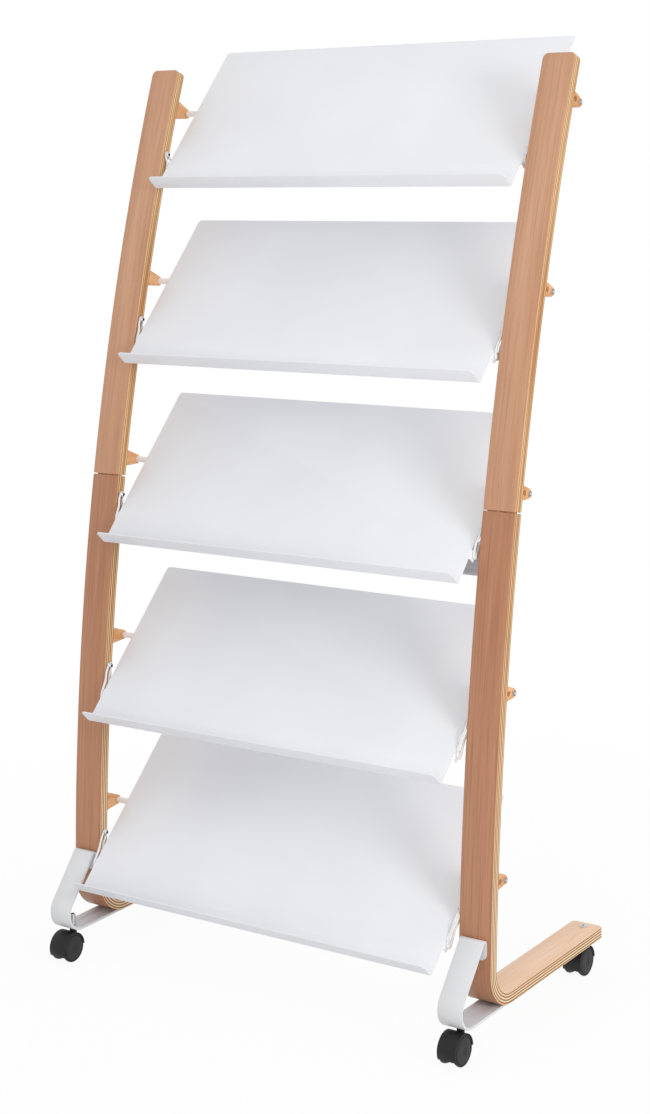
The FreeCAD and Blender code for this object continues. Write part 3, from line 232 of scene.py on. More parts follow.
def stretched(graph, place, factors):
    return graph.vector_math("MULTIPLY", place, factors)


def noise(graph, place, scale=1.0, detail=3.0, roughness=0.5):
    values = {"Vector": place, "Scale": scale, "Detail": detail, "Roughness": roughness}
    return graph.add("ShaderNodeTexNoise", {"noise_dimensions": "3D"}, values)


def mix_colours(graph, share, first, second):
    values = {MIX_SHARE: share, MIX_FIRST: first, MIX_SECOND: second}
    return graph.add("ShaderNodeMix", {"data_type": "RGBA"}, values).out(MIX_RESULT)


def clamp_step(wire, start, end):
    """0 before start, 1 after end and a straight ramp between them."""
    values = {"Value": wire, "From Min": start, "From Max": end, "To Min": 0.0, "To Max": 1.0}
    return wire.graph.add("ShaderNodeMapRange", {"clamp": True}, values)


def bump(graph, height, strength, distance):
    values = {"Height": height, "Strength": strength, "Distance": distance}
    return graph.add("ShaderNodeBump", {}, values)


def blank_material(name):
    """A material with no nodes yet, and its graph."""
    material = bpy.data.materials.new(name)
    material.use_nodes = True
    material.node_tree.nodes.clear()
    return material, Graph(material.node_tree)


def new_finish(name, surface):
    """A material whose principled shader has the sockets that surface gives."""
    material, graph = blank_material(name)
    shader = graph.add("ShaderNodeBsdfPrincipled", {}, surface(graph))
    graph.add("ShaderNodeOutputMaterial", {}, {0: shader})
    return material


def object_place(graph):
    return graph.add("ShaderNodeTexCoord").out("Object")


print("white reads as", [round(number, 3) for number in paint(255, 255, 255)])

# %% [markdown]
# ## Bent plywood
# The uprights are veneers glued round a mould and sanded flush at their edges.
# The grain therefore follows the bend. An attribute that remembers where each
# point lay on the straight blank carries it round: across, through and along.
# The wide faces show a rotary-cut veneer with faint streaks and small flecks.
# The back, which also makes the top of the foot, is painted paler as a painted
# highlight from the light above. The upper boards are painted a little paler
# and the lower ones darker, as painted light and shade from above. The edges
# show the plies, long grain and end grain in turn, and the long grain yellows
# some way up. Each grain's three numbers stretch noise.

# %% Finish the plywood
BOARD_THICK = 18 * MM
BOARD_WIDE = 56 * MM
VENEER_PAIRS = 4.0
FACE_VENEER = 0.7 * MM
DARK_SHARE = 0.42
FIRST_LAYER, LAYER_WANDER = 0.08, 0.16
BROAD_GRAIN, STREAK_GRAIN, FLECK_GRAIN = (30, 0, 1.3), (330, 0, 5), (1500, 0, 190)
WANDER_GRAIN, EDGE_GRAIN = (30, 0, 9), (150, 1600, 14)
AGED_FROM, AGED_TO = 50 * MM, 400 * MM
LAYER_SEED, TONE_CHANGE = 7.3, 2.6
OTHER_SHEET = (3, 0, 5)


def veneer_face(graph, blank, tones):
    """The wide face: a pale and a deep tone, fine streaks, small flecks."""
    pale, deep, line = tones
    broad = noise(graph, stretched(graph, blank, BROAD_GRAIN), detail=2.0)
    streak = noise(graph, stretched(graph, blank, STREAK_GRAIN), detail=5.0, roughness=0.65)
    fleck = noise(graph, stretched(graph, blank, FLECK_GRAIN), detail=1.0)
    face = mix_colours(graph, clamp_step(broad, 0.34, 0.66), pale, deep)
    face = mix_colours(graph, clamp_step(streak, 0.46, 0.78) * 0.75, face, line)
    face = mix_colours(graph, clamp_step(streak, 0.44, 0.26) * 0.5, face, pale)
    fleck_mask = clamp_step(fleck, 0.66, 0.74) * 0.35
    return mix_colours(graph, fleck_mask, face, line), streak * 0.6 + fleck_mask


def veneer_edge(graph, depth, along, blank, contrast):
    """The sawn edge: layers of brown end grain between cream long grain, which yellows upwards."""
    wander = (noise(graph, stretched(graph, blank, WANDER_GRAIN), detail=1.0) - 0.5) * LAYER_WANDER
    layer = depth / BOARD_THICK * VENEER_PAIRS + FIRST_LAYER + wander
    cross = (layer % 1) > (1 - DARK_SHARE)
    glue = clamp_step((layer % 1 - (1 - DARK_SHARE)).math("ABSOLUTE"), 0.1, 0.03)
    streak = noise(graph, stretched(graph, blank, EDGE_GRAIN), detail=3.0)
    fresh_grain = mix_colours(graph, streak, paint(246, 222, 186), paint(230, 198, 154))
    aged_grain = mix_colours(graph, streak, paint(240, 206, 156), paint(220, 176, 120))
    aged = clamp_step(along, AGED_FROM, AGED_TO)
    long_grain = mix_colours(graph, aged, fresh_grain, aged_grain)
    end_grain = mix_colours(graph, streak, paint(146, 94, 52), paint(116, 70, 38))
    layer_seed = graph.join(layer.math("FLOOR") * LAYER_SEED, along * TONE_CHANGE, 0.0)
    tone = noise(graph, layer_seed, detail=1.0)
    golden = clamp_step(tone, 0.45, 0.68) * (0.3 + 0.7 * aged)
    long_grain = mix_colours(graph, golden, long_grain, paint(188, 130, 70))
    edge = mix_colours(graph, cross * contrast, long_grain, end_grain)
    return mix_colours(graph, glue * 0.5, edge, paint(142, 96, 62))


def plywood(name, front_tones, lit_back_tones, contrast):
    def surface(graph):
        blank = graph.add("ShaderNodeAttribute", {"attribute_name": "blank"}).out("Vector")
        across, depth, along = graph.parts(blank)
        front, height = veneer_face(graph, blank, front_tones)
        other_sheet = graph.vector_math("ADD", blank, OTHER_SHEET)
        back = veneer_face(graph, other_sheet, lit_back_tones)[0]
        # The back half, with the foot's top, takes the paler tones of a painted highlight.
        face = mix_colours(graph, depth > (BOARD_THICK / 2), front, back)
        edge = veneer_edge(graph, depth, along, blank, contrast)
        from_middle = (depth - BOARD_THICK / 2).math("ABSOLUTE")
        on_face = from_middle > (BOARD_THICK / 2 - FACE_VENEER)
        worn = clamp_step(noise(graph, blank, scale=30.0), 0.5, 0.8)
        return {
            "Base Color": mix_colours(graph, on_face, edge, face),
            "Roughness": 0.44 + worn * 0.1 + (1 - on_face) * 0.14,
            "Normal": bump(graph, height, 0.22, 0.15 * MM),
            "Coat Weight": 0.12 * on_face,
            "Coat Roughness": 0.3,
        }

    return new_finish(name, surface)


# Painted light and shade: the back and the upper fronts are paler and the lower fronts darker, as
# light from above falls.
LIT_PALE_BACK = (paint(244, 210, 180), paint(236, 196, 162), paint(206, 158, 120))
LIT_UPPER_FRONT = (paint(206, 158, 124), paint(191, 139, 105), paint(160, 104, 70))
SHADED_LOWER_FRONT = (paint(188, 134, 100), paint(172, 116, 82), paint(138, 84, 54))
lit_upper_plywood = plywood("lacquered plywood upper with painted light", LIT_UPPER_FRONT, LIT_PALE_BACK, contrast=0.7)
shaded_lower_plywood = plywood("lacquered plywood lower with painted shade", SHADED_LOWER_FRONT, LIT_PALE_BACK, contrast=1.0)
print(VENEER_PAIRS, "pairs of", round(BOARD_THICK / VENEER_PAIRS / MM, 2), "mm")

# %% [markdown]
# ## Bending the boards
# A board could be extruded along a curve, but then its grain would have to be
# found again afterwards. Instead a straight blank is cut first and a Geometry
# Nodes mould bends it, as in the workshop: one formula for the flat foot, one
# for the tight bend and one for the long sweep. The mould's sizes are inputs.

# %% Cut a straight blank
FOOT_HEIGHT = 57 * MM
BEND_RADIUS = 62.4 * MM
SWEEP_RADIUS = 4466 * MM
START_LEAN = math.radians(3.17)
BEND_LENGTH = BEND_RADIUS * (math.pi / 2 - START_LEAN)
FOOT_LENGTH = 301.3 * MM
SWEEP_LENGTH = 1395 * MM
JOINT = 693 * MM
JOINT_GAP = 2 * MM
EDGE_ROUND = 1.2 * MM
END_SOFT = 0.5 * MM
HEEL_CORNER, TOP_CORNER = 8 * MM, 9 * MM
EDGE_STEPS, CORNER_STEPS = 3, 8
BEND_STEP, SWEEP_STEP = 2.5 * MM, 9 * MM
BEFORE_BEND, AFTER_BEND = 4 * MM, 1 * MM


def rounded_section(half_wide, inset):
    """Corners of a board's cross section with rounded long edges."""
    corners = []
    low, high = inset, BOARD_THICK - inset
    quarter = math.pi / 2
    centres = ((1, high, 0), (-1, high, 1), (-1, low, 2), (1, low, 3))
    for side, level, number in centres:
        x = side * (half_wide - inset - EDGE_ROUND)
        y = level - EDGE_ROUND if level > BOARD_THICK / 2 else level + EDGE_ROUND
        for step in range(EDGE_STEPS + 1):
            angle = quarter * (number + step / EDGE_STEPS)
            corners.append((x + EDGE_ROUND * math.cos(angle), y + EDGE_ROUND * math.sin(angle)))
    return corners


def stations(start, end):
    """Places of the blank's sections: close together where the mould is tight."""
    spots = [start]
    while spots[-1] < end - SAME_PLACE:
        tight = -BEND_LENGTH - BEFORE_BEND < spots[-1] < AFTER_BEND
        spots.append(min(end, spots[-1] + (BEND_STEP if tight else SWEEP_STEP)))
    return spots


def blank_mesh(name, start, end, corner_start, corner_end):
    """A straight board from one station to another with rounded corners in plan."""
    spots = set(stations(start, end))
    rows = []
    for corner, edge, inward in ((corner_start, start, 1), (corner_end, end, -1)):
        for step in range(CORNER_STEPS + 1 if corner else 0):
            spots.add(edge + inward * corner * (1 - math.cos(math.pi / 2 * (step / CORNER_STEPS))))
    for spot in sorted(spots):
        half = BOARD_WIDE / 2
        for corner, gap in ((corner_start, spot - start), (corner_end, end - spot)):
            if gap < corner:
                half = BOARD_WIDE / 2 - corner + math.sqrt(corner**2 - (corner - gap) ** 2)
        rows.append((spot, half, 0.0))
    rows[0:0] = [(start, rows[0][1], END_SOFT)]
    rows[1] = (start + END_SOFT / 2, rows[1][1], END_SOFT * 0.25)
    rows.append((end, rows[-1][1], END_SOFT))
    rows[-2] = (end - END_SOFT / 2, rows[-2][1], END_SOFT * 0.25)
    points, faces = [], []
    for spot, half, inset in rows:
        points += [(x, y, spot) for x, y in rounded_section(half, inset)]
    count = len(points) // len(rows)
    for row in range(len(rows) - 1):
        for item in range(count):
            near, far = row * count, (row + 1) * count
            after = (item + 1) % count
            faces.append((near + item, near + after, far + after, far + item))
    faces.append(tuple(reversed(range(count))))
    faces.append(tuple(range(len(points) - count, len(points))))
    mesh = bpy.data.meshes.new(name)
    mesh.from_pydata(points, [], faces)
    return mesh


print("bend", round(BEND_LENGTH / MM, 1), "mm long")

# %% [markdown]
# ## Trees with named inputs
# The mould, the lathe, the links and the setting out are Geometry Nodes trees.
# All take a shape, some named sizes and a finish, and all end in the same way:
# copies are made real, because the export drops instances, and get the finish.

# %% Begin, end and run a tree
SET_MATERIAL, SET_PLACE = 2, 2
VECTOR_POINTS = {"data_type": "FLOAT_VECTOR", "domain": "POINT"}
NUMBER_POINTS = {"data_type": "FLOAT", "domain": "POINT"}


def new_tree(name, inputs):
    """A tree with named inputs of some kinds, its graph and its input node."""
    tree = bpy.data.node_groups.new(name, "GeometryNodeTree")
    for label, kind in (("Geometry", "Geometry"), *inputs, ("Finish", "Material")):
        tree.interface.new_socket(label, in_out="INPUT", socket_type=f"NodeSocket{kind}")
    tree.interface.new_socket("Geometry", in_out="OUTPUT", socket_type="NodeSocketGeometry")
    graph = Graph(tree)
    return tree, graph, graph.add("NodeGroupInput")


def end_tree(graph, given, shape):
    """Makes copies real, gives the finish and ends the tree."""
    solid = graph.add("GeometryNodeRealizeInstances", {}, {0: shape})
    values = {0: solid, SET_MATERIAL: given.out("Finish")}
    finished = graph.add("GeometryNodeSetMaterial", {}, values)
    graph.add("NodeGroupOutput", {}, {0: finished})


def socket_of(tree, name):
    """The identifier of an input, which a modifier needs in place of its name."""
    for item in tree.interface.items_tree:
        if item.name == name and item.in_out == "INPUT":
            return item.identifier


def run_tree(name, mesh, tree, inputs):
    """Runs a tree on a mesh and keeps the result as a plain mesh object."""
    piece = added(name, mesh)
    modifier = piece.modifiers.new(tree.name, "NODES")
    modifier.node_group = tree
    for label, given in inputs.items():
        modifier[socket_of(tree, label)] = given
    shown = piece.evaluated_get(bpy.context.evaluated_depsgraph_get())
    result = bpy.data.meshes.new_from_object(shown)
    piece.modifiers.remove(modifier)
    piece.data = result
    result.name = name
    return piece


print("trees ready")

# %% [markdown]
# ## The mould
# A workshop mould is cut to the board's inner line. Here the same line is given
# by radii and a lean. The tree marks every point with its place on the straight
# blank before it moves the point, so the grain can follow the bend.

# %% The mould that bends a blank
MOULD_SIZES = ("Foot height", "Bend radius", "Sweep radius", "Start lean", "Side")


def new_mould():
    tree, graph, given = new_tree("plywood mould", [(name, "Float") for name in MOULD_SIZES])
    foot, bend, sweep, lean, side = (given.out(name) for name in MOULD_SIZES)
    place = graph.add("GeometryNodeInputPosition")
    across, depth, along = graph.parts(place)

    angle = lean + along / sweep
    reach = sweep - bend
    sweep_y = bend + reach * lean.math("COSINE") - (sweep - depth) * angle.math("COSINE")
    sweep_z = foot + bend - reach * lean.math("SINE") + (sweep - depth) * angle.math("SINE")
    tight = lean + along / bend
    bend_y = bend - (bend - depth) * tight.math("COSINE")
    bend_z = foot + bend + (bend - depth) * tight.math("SINE")
    arc = bend * (math.pi / 2 - lean)
    foot_y = bend - along - arc
    foot_z = foot + depth
    in_sweep = along > 0
    in_foot = (along + arc) < 0
    in_bend = (1 - in_sweep) * (1 - in_foot)
    back = sweep_y * in_sweep + bend_y * in_bend + foot_y * in_foot
    up = sweep_z * in_sweep + bend_z * in_bend + foot_z * in_foot

    mark = {0: given.out("Geometry"), "Name": "blank", "Value": place}
    marked = graph.add("GeometryNodeStoreNamedAttribute", VECTOR_POINTS, mark)
    values = {0: marked, SET_PLACE: graph.join(across + side, back, up)}
    end_tree(graph, given, graph.add("GeometryNodeSetPosition", {}, values))
    return tree


def smooth(piece, degrees=35):
    """Smooth shading, with edges sharper than an angle left crisp."""
    piece.data.shade_smooth()
    piece.data.set_sharp_from_angle(angle=math.radians(degrees))
    return piece


mould = new_mould()
print("mould sizes", MOULD_SIZES)

# %% [markdown]
# ## Bending both uprights
# Each upright is two boards that meet a little above the third shelf's bolts.
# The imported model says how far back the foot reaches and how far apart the
# boards stand, and the rest follows from the sizes of the blank.

# %% Bend both uprights
foot_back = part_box("left_upright_lower")[1].y
front_face = foot_back - BEND_RADIUS - FOOT_LENGTH
board_shift = (model_high[0] - model_low[0] - BOARD_WIDE) / 2


def bend_board(name, side, start, end, corner_start, corner_end, finish):
    mesh = blank_mesh(name + "_bent", start, end, corner_start, corner_end)
    inputs = {
        "Foot height": FOOT_HEIGHT, "Bend radius": BEND_RADIUS, "Sweep radius": SWEEP_RADIUS,
        "Start lean": START_LEAN, "Side": side * board_shift, "Finish": finish,
    }
    board = run_tree(name + "_bent", mesh, mould, inputs)
    board.data.transform(Matrix.Translation((0, front_face, 0)))
    smooth(board)
    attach(board, "frame")
    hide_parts(name)
    return board


foot_start = -BEND_LENGTH - FOOT_LENGTH
for name, side in SIDES:
    low = bend_board(
        f"{name}_upright_lower", side, foot_start, JOINT - JOINT_GAP / 2,
        HEEL_CORNER, 0, shaded_lower_plywood,
    )
    high = bend_board(
        f"{name}_upright_upper", side, JOINT + JOINT_GAP / 2, SWEEP_LENGTH,
        0, TOP_CORNER, lit_upper_plywood,
    )
    print(name, "upright", len(low.data.polygons) + len(high.data.polygons), "faces")

# %% [markdown]
# ## Powder coat
# The shelves, rods, links and straps are steel under a satin powder coat. The
# powder melts into a skin with a fine, slightly uneven surface, and a little
# grey dust settles on it. Three scales of noise make clouds, skin and dust.

# %% Finish the coated steel


def coated(name, colour, shade, roughness):
    def surface(graph):
        place = object_place(graph)
        cloud = noise(graph, place, scale=5.0, detail=2.0)
        skin = noise(graph, place, scale=900.0, detail=2.0, roughness=0.6)
        dust = noise(graph, place, scale=2600.0, detail=1.0)
        tone = mix_colours(graph, clamp_step(cloud, 0.35, 0.65), colour, shade)
        dusty = clamp_step(dust, 0.62, 0.75) * 0.12
        return {
            "Base Color": mix_colours(graph, dusty, tone, paint(176, 177, 182)),
            "Roughness": roughness + skin * 0.12,
            "Normal": bump(graph, skin, 0.2, 0.12 * MM),
        }

    return new_finish(name, surface)


shelf_coat = coated("cool white shelf coat", paint(237, 238, 242), paint(233, 234, 238), 0.42)
steel_coat = coated("pale strap coat", paint(222, 223, 225), paint(216, 217, 220), 0.38)
link_coat = coated("white link coat", paint(246, 246, 246), paint(240, 240, 240), 0.34)
brace_coat = coated("grey brace coat", paint(196, 197, 200), paint(188, 189, 193), 0.4)
print("coats", [coat.name for coat in (shelf_coat, steel_coat, link_coat, brace_coat)])

# %% [markdown]
# ## Beech, zinc and black nylon
# The ears are solid beech, orange under the lacquer, with the short dark
# dashes of that wood along the grain. The screws are zinc plated steel. The
# casters are moulded nylon, which is never quite black and has a fine spark
# eroded grain that scatters the light.

# %% Finish the small parts


def beech_surface(graph):
    place = object_place(graph)
    grain = stretched(graph, place, (160, 18, 60))
    rings = noise(graph, grain, detail=3.0)
    dash = noise(graph, stretched(graph, place, (1400, 160, 900)), detail=1.0)
    pale, deep, line = paint(232, 178, 126), paint(206, 144, 94), paint(150, 94, 58)
    colour = mix_colours(graph, clamp_step(rings, 0.35, 0.7), pale, deep)
    colour = mix_colours(graph, clamp_step(dash, 0.64, 0.7) * 0.5, colour, line)
    return {
        "Base Color": colour,
        "Roughness": 0.45 + rings * 0.1,
        "Normal": bump(graph, rings, 0.15, 0.2 * MM),
    }


def painted_hollow_shade(graph):
    """1 inside the sockets and grooves of a turned piece, which the finishes paint dark as shade.
    """
    return graph.add("ShaderNodeAttribute", {"attribute_name": "recess"}).out("Fac")


def zinc_surface(graph):
    place = object_place(graph)
    spangle = noise(graph, place, scale=700.0, detail=2.0)
    bright, dull = paint(222, 223, 226), paint(196, 198, 202)
    plate = mix_colours(graph, clamp_step(spangle, 0.35, 0.65), bright, dull)
    recess = painted_hollow_shade(graph)
    return {
        # Marked sockets and grooves are painted near black as shade, with no metal.
        "Base Color": mix_colours(graph, recess, plate, paint(34, 34, 36)),
        "Metallic": 1 - recess,
        "Roughness": 0.24 + spangle * 0.14,
        "Normal": bump(graph, spangle, 0.1, 0.05 * MM),
    }


def nylon(name, colour, worn):
    def surface(graph):
        place = object_place(graph)
        spark = noise(graph, place, scale=1500.0, detail=2.0)
        scuff = noise(graph, stretched(graph, place, (60, 220, 220)), detail=4.0)
        moulded = mix_colours(graph, clamp_step(scuff, 0.55, 0.8) * 0.5, colour, worn)
        return {
            # Marked hollows, such as a wheel's sunk ring, are painted near black as shade.
            "Base Color": mix_colours(graph, painted_hollow_shade(graph), moulded, paint(8, 8, 9)),
            "Roughness": 0.5 + clamp_step(scuff, 0.5, 0.8) * 0.14,
            "Normal": bump(graph, spark, 0.2, 0.08 * MM),
            "Specular IOR Level": 0.35,
        }

    return new_finish(name, surface)


beech = new_finish("lacquered beech", beech_surface)
zinc = new_finish("zinc plate", zinc_surface)
hood_nylon = nylon("black hood nylon", paint(22, 22, 24), paint(32, 32, 34))
wheel_nylon = nylon("black wheel nylon", paint(29, 29, 31), paint(44, 44, 46))
dark_steel_and_shade = nylon("blackened steel", paint(24, 24, 25), paint(48, 48, 50))
print("small parts", [finish.name for finish in (beech, zinc, hood_nylon, wheel_nylon, dark_steel_and_shade)])

# %% [markdown]
# ## Turned pieces
# Screws, spacers, wheels and rods all come off a lathe, so one profile and one
# turn describe each of them. The spin operator would do it by hand. A Geometry
# Nodes lathe is better here: a grid is wrapped round the axis, and every row of
# it takes its radius and height from one point of the profile. A mark on the
# point makes the row hexagonal or threaded, and marks the rows of sockets and
# grooves that the finishes paint dark as shade.

# %% The lathe
# The second and third marks are painted dark as shade by the finishes.
ROUND, SHADED_HOLLOW, HEX, THREAD = 0, 1, 2, 3
PITCH = 1.5 * MM


def round_grid(graph, given):
    """A grid with a row for each point of the given shape.

    Returns the grid, how far each of its points is turned, and its row's three numbers.
    """
    shape, segments = given.out("Geometry"), given.out("Segments")
    rows = graph.add("GeometryNodeAttributeDomainSize", {"component": "MESH"}, {0: shape})
    counts = {"Vertices X": segments + 1, "Vertices Y": rows}
    grid = graph.add("GeometryNodeMeshGrid", {}, counts).out("Mesh")
    index = graph.add("GeometryNodeInputIndex")
    row = index % rows
    turn = ((index - row) / rows) / segments * (2 * math.pi)
    spot = graph.add("GeometryNodeInputPosition")
    taken = graph.add("GeometryNodeSampleIndex", VECTOR_POINTS, {0: shape, 1: spot, 2: row})
    return grid, turn, graph.parts(taken)


def closed_up(graph, shape):
    return graph.add("GeometryNodeMergeByDistance", {}, {"Geometry": shape, "Distance": SAME_PLACE})


def new_lathe():
    tree, graph, given = new_tree("lathe", [("Segments", "Int"), ("Thread depth", "Float")])
    grid, turn, (radius, mark, height) = round_grid(graph, given)
    hexed = (mark > HEX - 0.5) * (mark < HEX + 0.5)
    threaded = mark > THREAD - 0.5
    sixth = math.pi / 3
    flat = math.cos(sixth / 2) / ((turn % sixth) - sixth / 2).math("COSINE")
    screwed = (height / PITCH * (2 * math.pi) + turn).math("SINE") * given.out("Thread depth")
    wide = radius * (1 + (flat - 1) * hexed) + screwed * threaded
    place = graph.join(wide * turn.math("COSINE"), wide * turn.math("SINE"), height)
    wrapped = graph.add("GeometryNodeSetPosition", {}, {0: grid, SET_PLACE: place})
    # Sockets and grooves are marked here for painted shade.
    recess = (mark > SHADED_HOLLOW - 0.5) * (mark < HEX + 0.5)
    values = {0: wrapped, "Name": "recess", "Value": recess}
    marked = graph.add("GeometryNodeStoreNamedAttribute", NUMBER_POINTS, values)
    end_tree(graph, given, closed_up(graph, marked))
    return tree


def turned(name, points, segments=32, thread=0.0):
    """A piece from a profile of (radius, height, mark) in millimetres, its top at height 0."""
    mesh = bpy.data.meshes.new(name)
    spots = [(radius * MM, mark, height * MM) for radius, height, mark in points]
    mesh.from_pydata(spots, [(i, i + 1) for i in range(len(spots) - 1)], [])
    piece = run_tree(name, mesh, lathe, {"Segments": segments, "Thread depth": thread * MM})
    outward(piece.data)
    return piece


def outward(mesh):
    """Merges doubles and turns every face outwards."""
    shape = bmesh.new()
    shape.from_mesh(mesh)
    bmesh.ops.remove_doubles(shape, verts=shape.verts, dist=SAME_PLACE)
    bmesh.ops.recalc_face_normals(shape, faces=shape.faces)
    shape.to_mesh(mesh)
    shape.free()


lathe = new_lathe()
print("lathe ready")

# %% [markdown]
# ## Setting the small hardware out
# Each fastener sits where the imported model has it, or close by. Its solids are
# read from the node: the middle of each one, and the direction of its axis.
# The heading is the way that a head or a free end faces.

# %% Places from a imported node
ALIGNED = 0.95


def islands(node):
    """The corner points of every separate solid of a node."""
    shape = bmesh.new()
    shape.from_mesh(nodes[node].data)
    bmesh.ops.remove_doubles(shape, verts=shape.verts, dist=SAME_PLACE)
    waiting, found = set(shape.verts), []
    while waiting:
        reached, edge = set(), [waiting.pop()]
        while edge:
            corner = edge.pop()
            reached.add(corner)
            for link in corner.link_edges:
                after = link.other_vert(corner)
                if after in waiting:
                    waiting.discard(after)
                    edge.append(after)
        found.append(np.array([tuple(corner.co) for corner in reached]))
    shape.free()
    return sorted(found, key=lambda spots: tuple(spots.mean(0).round(4)))


def middle_of(spots):
    return (spots.min(0) + spots.max(0)) / 2


def seats(node, towards):
    """The top of each fastener and its heading.

    towards takes the middle of a solid and gives the rough direction that its head faces.
    """
    found = []
    for spots in islands(node):
        middle = middle_of(spots)
        rough = np.array(towards(middle), float)
        axis = np.linalg.svd(spots - spots.mean(0), full_matrices=False)[2][0]
        axis = axis * np.sign(axis @ rough)
        if axis @ rough < ALIGNED:
            axis = rough
        top = max((spots - middle) @ axis)
        found.append((Vector(middle + axis * top), Vector(axis)))
    return found


def outside(middle):
    return (math.copysign(1, middle[0]), 0, 0)


def inside(middle):
    return (-math.copysign(1, middle[0]), 0, 0)


print(len(seats("link_bolts", inside)), "link bolts found")

# %% [markdown]
# ## A copy on every place
# This tree puts a copy of a turned piece on every point, turned to the point's
# heading and spun by a seeded amount, because no two sockets line up in life.

# %% The tree that sets pieces out
SPIN_LEAST, SPIN_MOST, SPIN_RESULT = 2, 3, 1
COPIED, COPY_TURN = 2, 5
TURNED_SHARP = 32


def new_layout():
    tree, graph, given = new_tree("set out", [("Piece", "Object"), ("Seed", "Int")])
    piece = graph.add("GeometryNodeObjectInfo", {}, {0: given.out("Piece")}).out("Geometry")
    named = {"data_type": "FLOAT_VECTOR"}
    heading = graph.add("GeometryNodeInputNamedAttribute", named, {"Name": "heading"})
    facing = graph.add("FunctionNodeAlignRotationToVector", {"axis": "Z"}, {"Vector": heading})
    values = {SPIN_LEAST: 0.0, SPIN_MOST: 2 * math.pi, "Seed": given.out("Seed")}
    spin = graph.add("FunctionNodeRandomValue", {"data_type": "FLOAT"}, values).out(SPIN_RESULT)
    twist = graph.add("FunctionNodeEulerToRotation", {}, {0: graph.join(0.0, 0.0, spin)})
    local = {"rotation_space": "LOCAL"}
    turn = graph.add("FunctionNodeRotateRotation", local, {0: facing, 1: twist})
    values = {0: given.out("Geometry"), COPIED: piece, COPY_TURN: turn}
    end_tree(graph, given, graph.add("GeometryNodeInstanceOnPoints", {}, values))
    return tree


layout = new_layout()


def set_out(name, piece, places, finish, body, replaced, slot, seed=1):
    """Copies of a turned piece at several places, as one object that stands for a node."""
    mesh = bpy.data.meshes.new(name)
    mesh.from_pydata([spot for spot, heading in places], [], [])
    headings = mesh.attributes.new("heading", "FLOAT_VECTOR", "POINT")
    headings.data.foreach_set("vector", [n for spot, heading in places for n in heading])
    result = run_tree(name, mesh, layout, {"Piece": piece, "Seed": seed, "Finish": finish})
    smooth(result, TURNED_SHARP)
    bpy.data.objects.remove(piece)
    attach(result, body)
    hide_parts(replaced)
    print(name, len(places), "set out,", len(result.data.polygons), "faces")


# %% [markdown]
# ## Screws and spacers
# The link bolts and most of the screws have a low round head with a socket for
# a key. The hexagon and its depth are real, and the socket is painted dark as
# shade as well. The screws at the rods' ends show a dome with a groove round it,
# painted dark as shade. A spacer stands behind each link, and bolt and spacer
# move with the link's crank.

# %% Turn and set out the fasteners
JOGGLE = 3.4 * MM


def button_screw(head, height, socket, shank, length):
    """Profile of a low round head with a hexagonal socket, painted dark inside as shade."""
    return [
        (0, -length, ROUND), (shank * 0.7, -length, ROUND), (shank, -length + 0.7, ROUND),
        (shank, -height, ROUND), (head, -height, ROUND), (head, -height * 0.7, ROUND),
        (head * 0.95, -height * 0.42, ROUND), (head * 0.84, -height * 0.18, ROUND),
        (head * 0.68, -height * 0.05, ROUND), (socket + 0.3, 0, ROUND), (socket, -0.15, HEX),
        (socket, -height * 0.8, HEX), (0, -height * 0.95, HEX),
    ]


def spacer(radius, bore, thick, soft=0.3):
    """Profile of a spacer with a bore and soft edges."""
    return [
        (bore, -thick, ROUND), (radius - soft, -thick, ROUND), (radius, -thick + soft, ROUND),
        (radius, -soft, ROUND), (radius - soft, 0, ROUND), (bore, 0, ROUND), (bore, -thick, ROUND),
    ]


def downward(middle):
    return (0, 0, -1)


def backward(middle):
    return (0, 0.98, -0.2)


HARDWARE = (
    ("link_bolts", button_screw(4.6, 2.2, 2.3, 3.0, 40.6 - JOGGLE / MM), inside, zinc, "zinc"),
    ("rod_screws", [
        (0, -46, ROUND), (2.5, -45.5, ROUND), (2.5, -3, ROUND), (4.5, -3, ROUND),
        # The groove round the dome is painted dark as shade.
        (4.5, -1.4, ROUND), (4.3, -1.1, ROUND), (4.1, -1.1, SHADED_HOLLOW), (2.7, -1.1, SHADED_HOLLOW),
        (2.6, -0.9, ROUND), (2.2, -0.3, ROUND), (1.2, -0.05, ROUND), (0, 0, ROUND),
    ], outside, zinc, "zinc"),
    ("strap_screws", button_screw(4.5, 2.2, 1.5, 2.2, 19.2), downward, zinc, "zinc"),
    ("brace_screws", button_screw(4.0, 2.4, 1.5, 2.0, 17.4), backward, zinc, "zinc"),
    ("tongue_screws", button_screw(4.0, 2.4, 1.5, 2.0, 15.4), backward, zinc, "zinc"),
    ("link_spacers", spacer(4.6, 3.1, 5.0 - JOGGLE / MM), inside, zinc, "zinc"),
)
for seed, (node, profile, towards, finish, slot) in enumerate(HARDWARE):
    piece = turned(node + "_turned", profile)
    back = JOGGLE if node in ("link_bolts", "link_spacers") else 0
    places = [(spot - heading * back, heading) for spot, heading in seats(node, towards)]
    set_out(node + "_set", piece, places, finish, "frame", node, slot, seed)

# %% [markdown]
# ## Shelf links
# A slotted steel link holds each end of each shelf: broad and slotted where it
# is riveted to the shelf, narrow where it rings its bolt. It is the strip
# between two outlines, each the hull of two circles. A tree wraps a grid round
# that strip, and the section's points are eased so that its edges catch light.

# %% The link tree
LINK_THICK, LINK_SOFT = 3.0, 0.5
LINK_SIZES = (
    "Length", "Rivet end", "Bolt end", "Slot start", "Slot end",
    "Slot half at rivet", "Slot half at bolt",
)


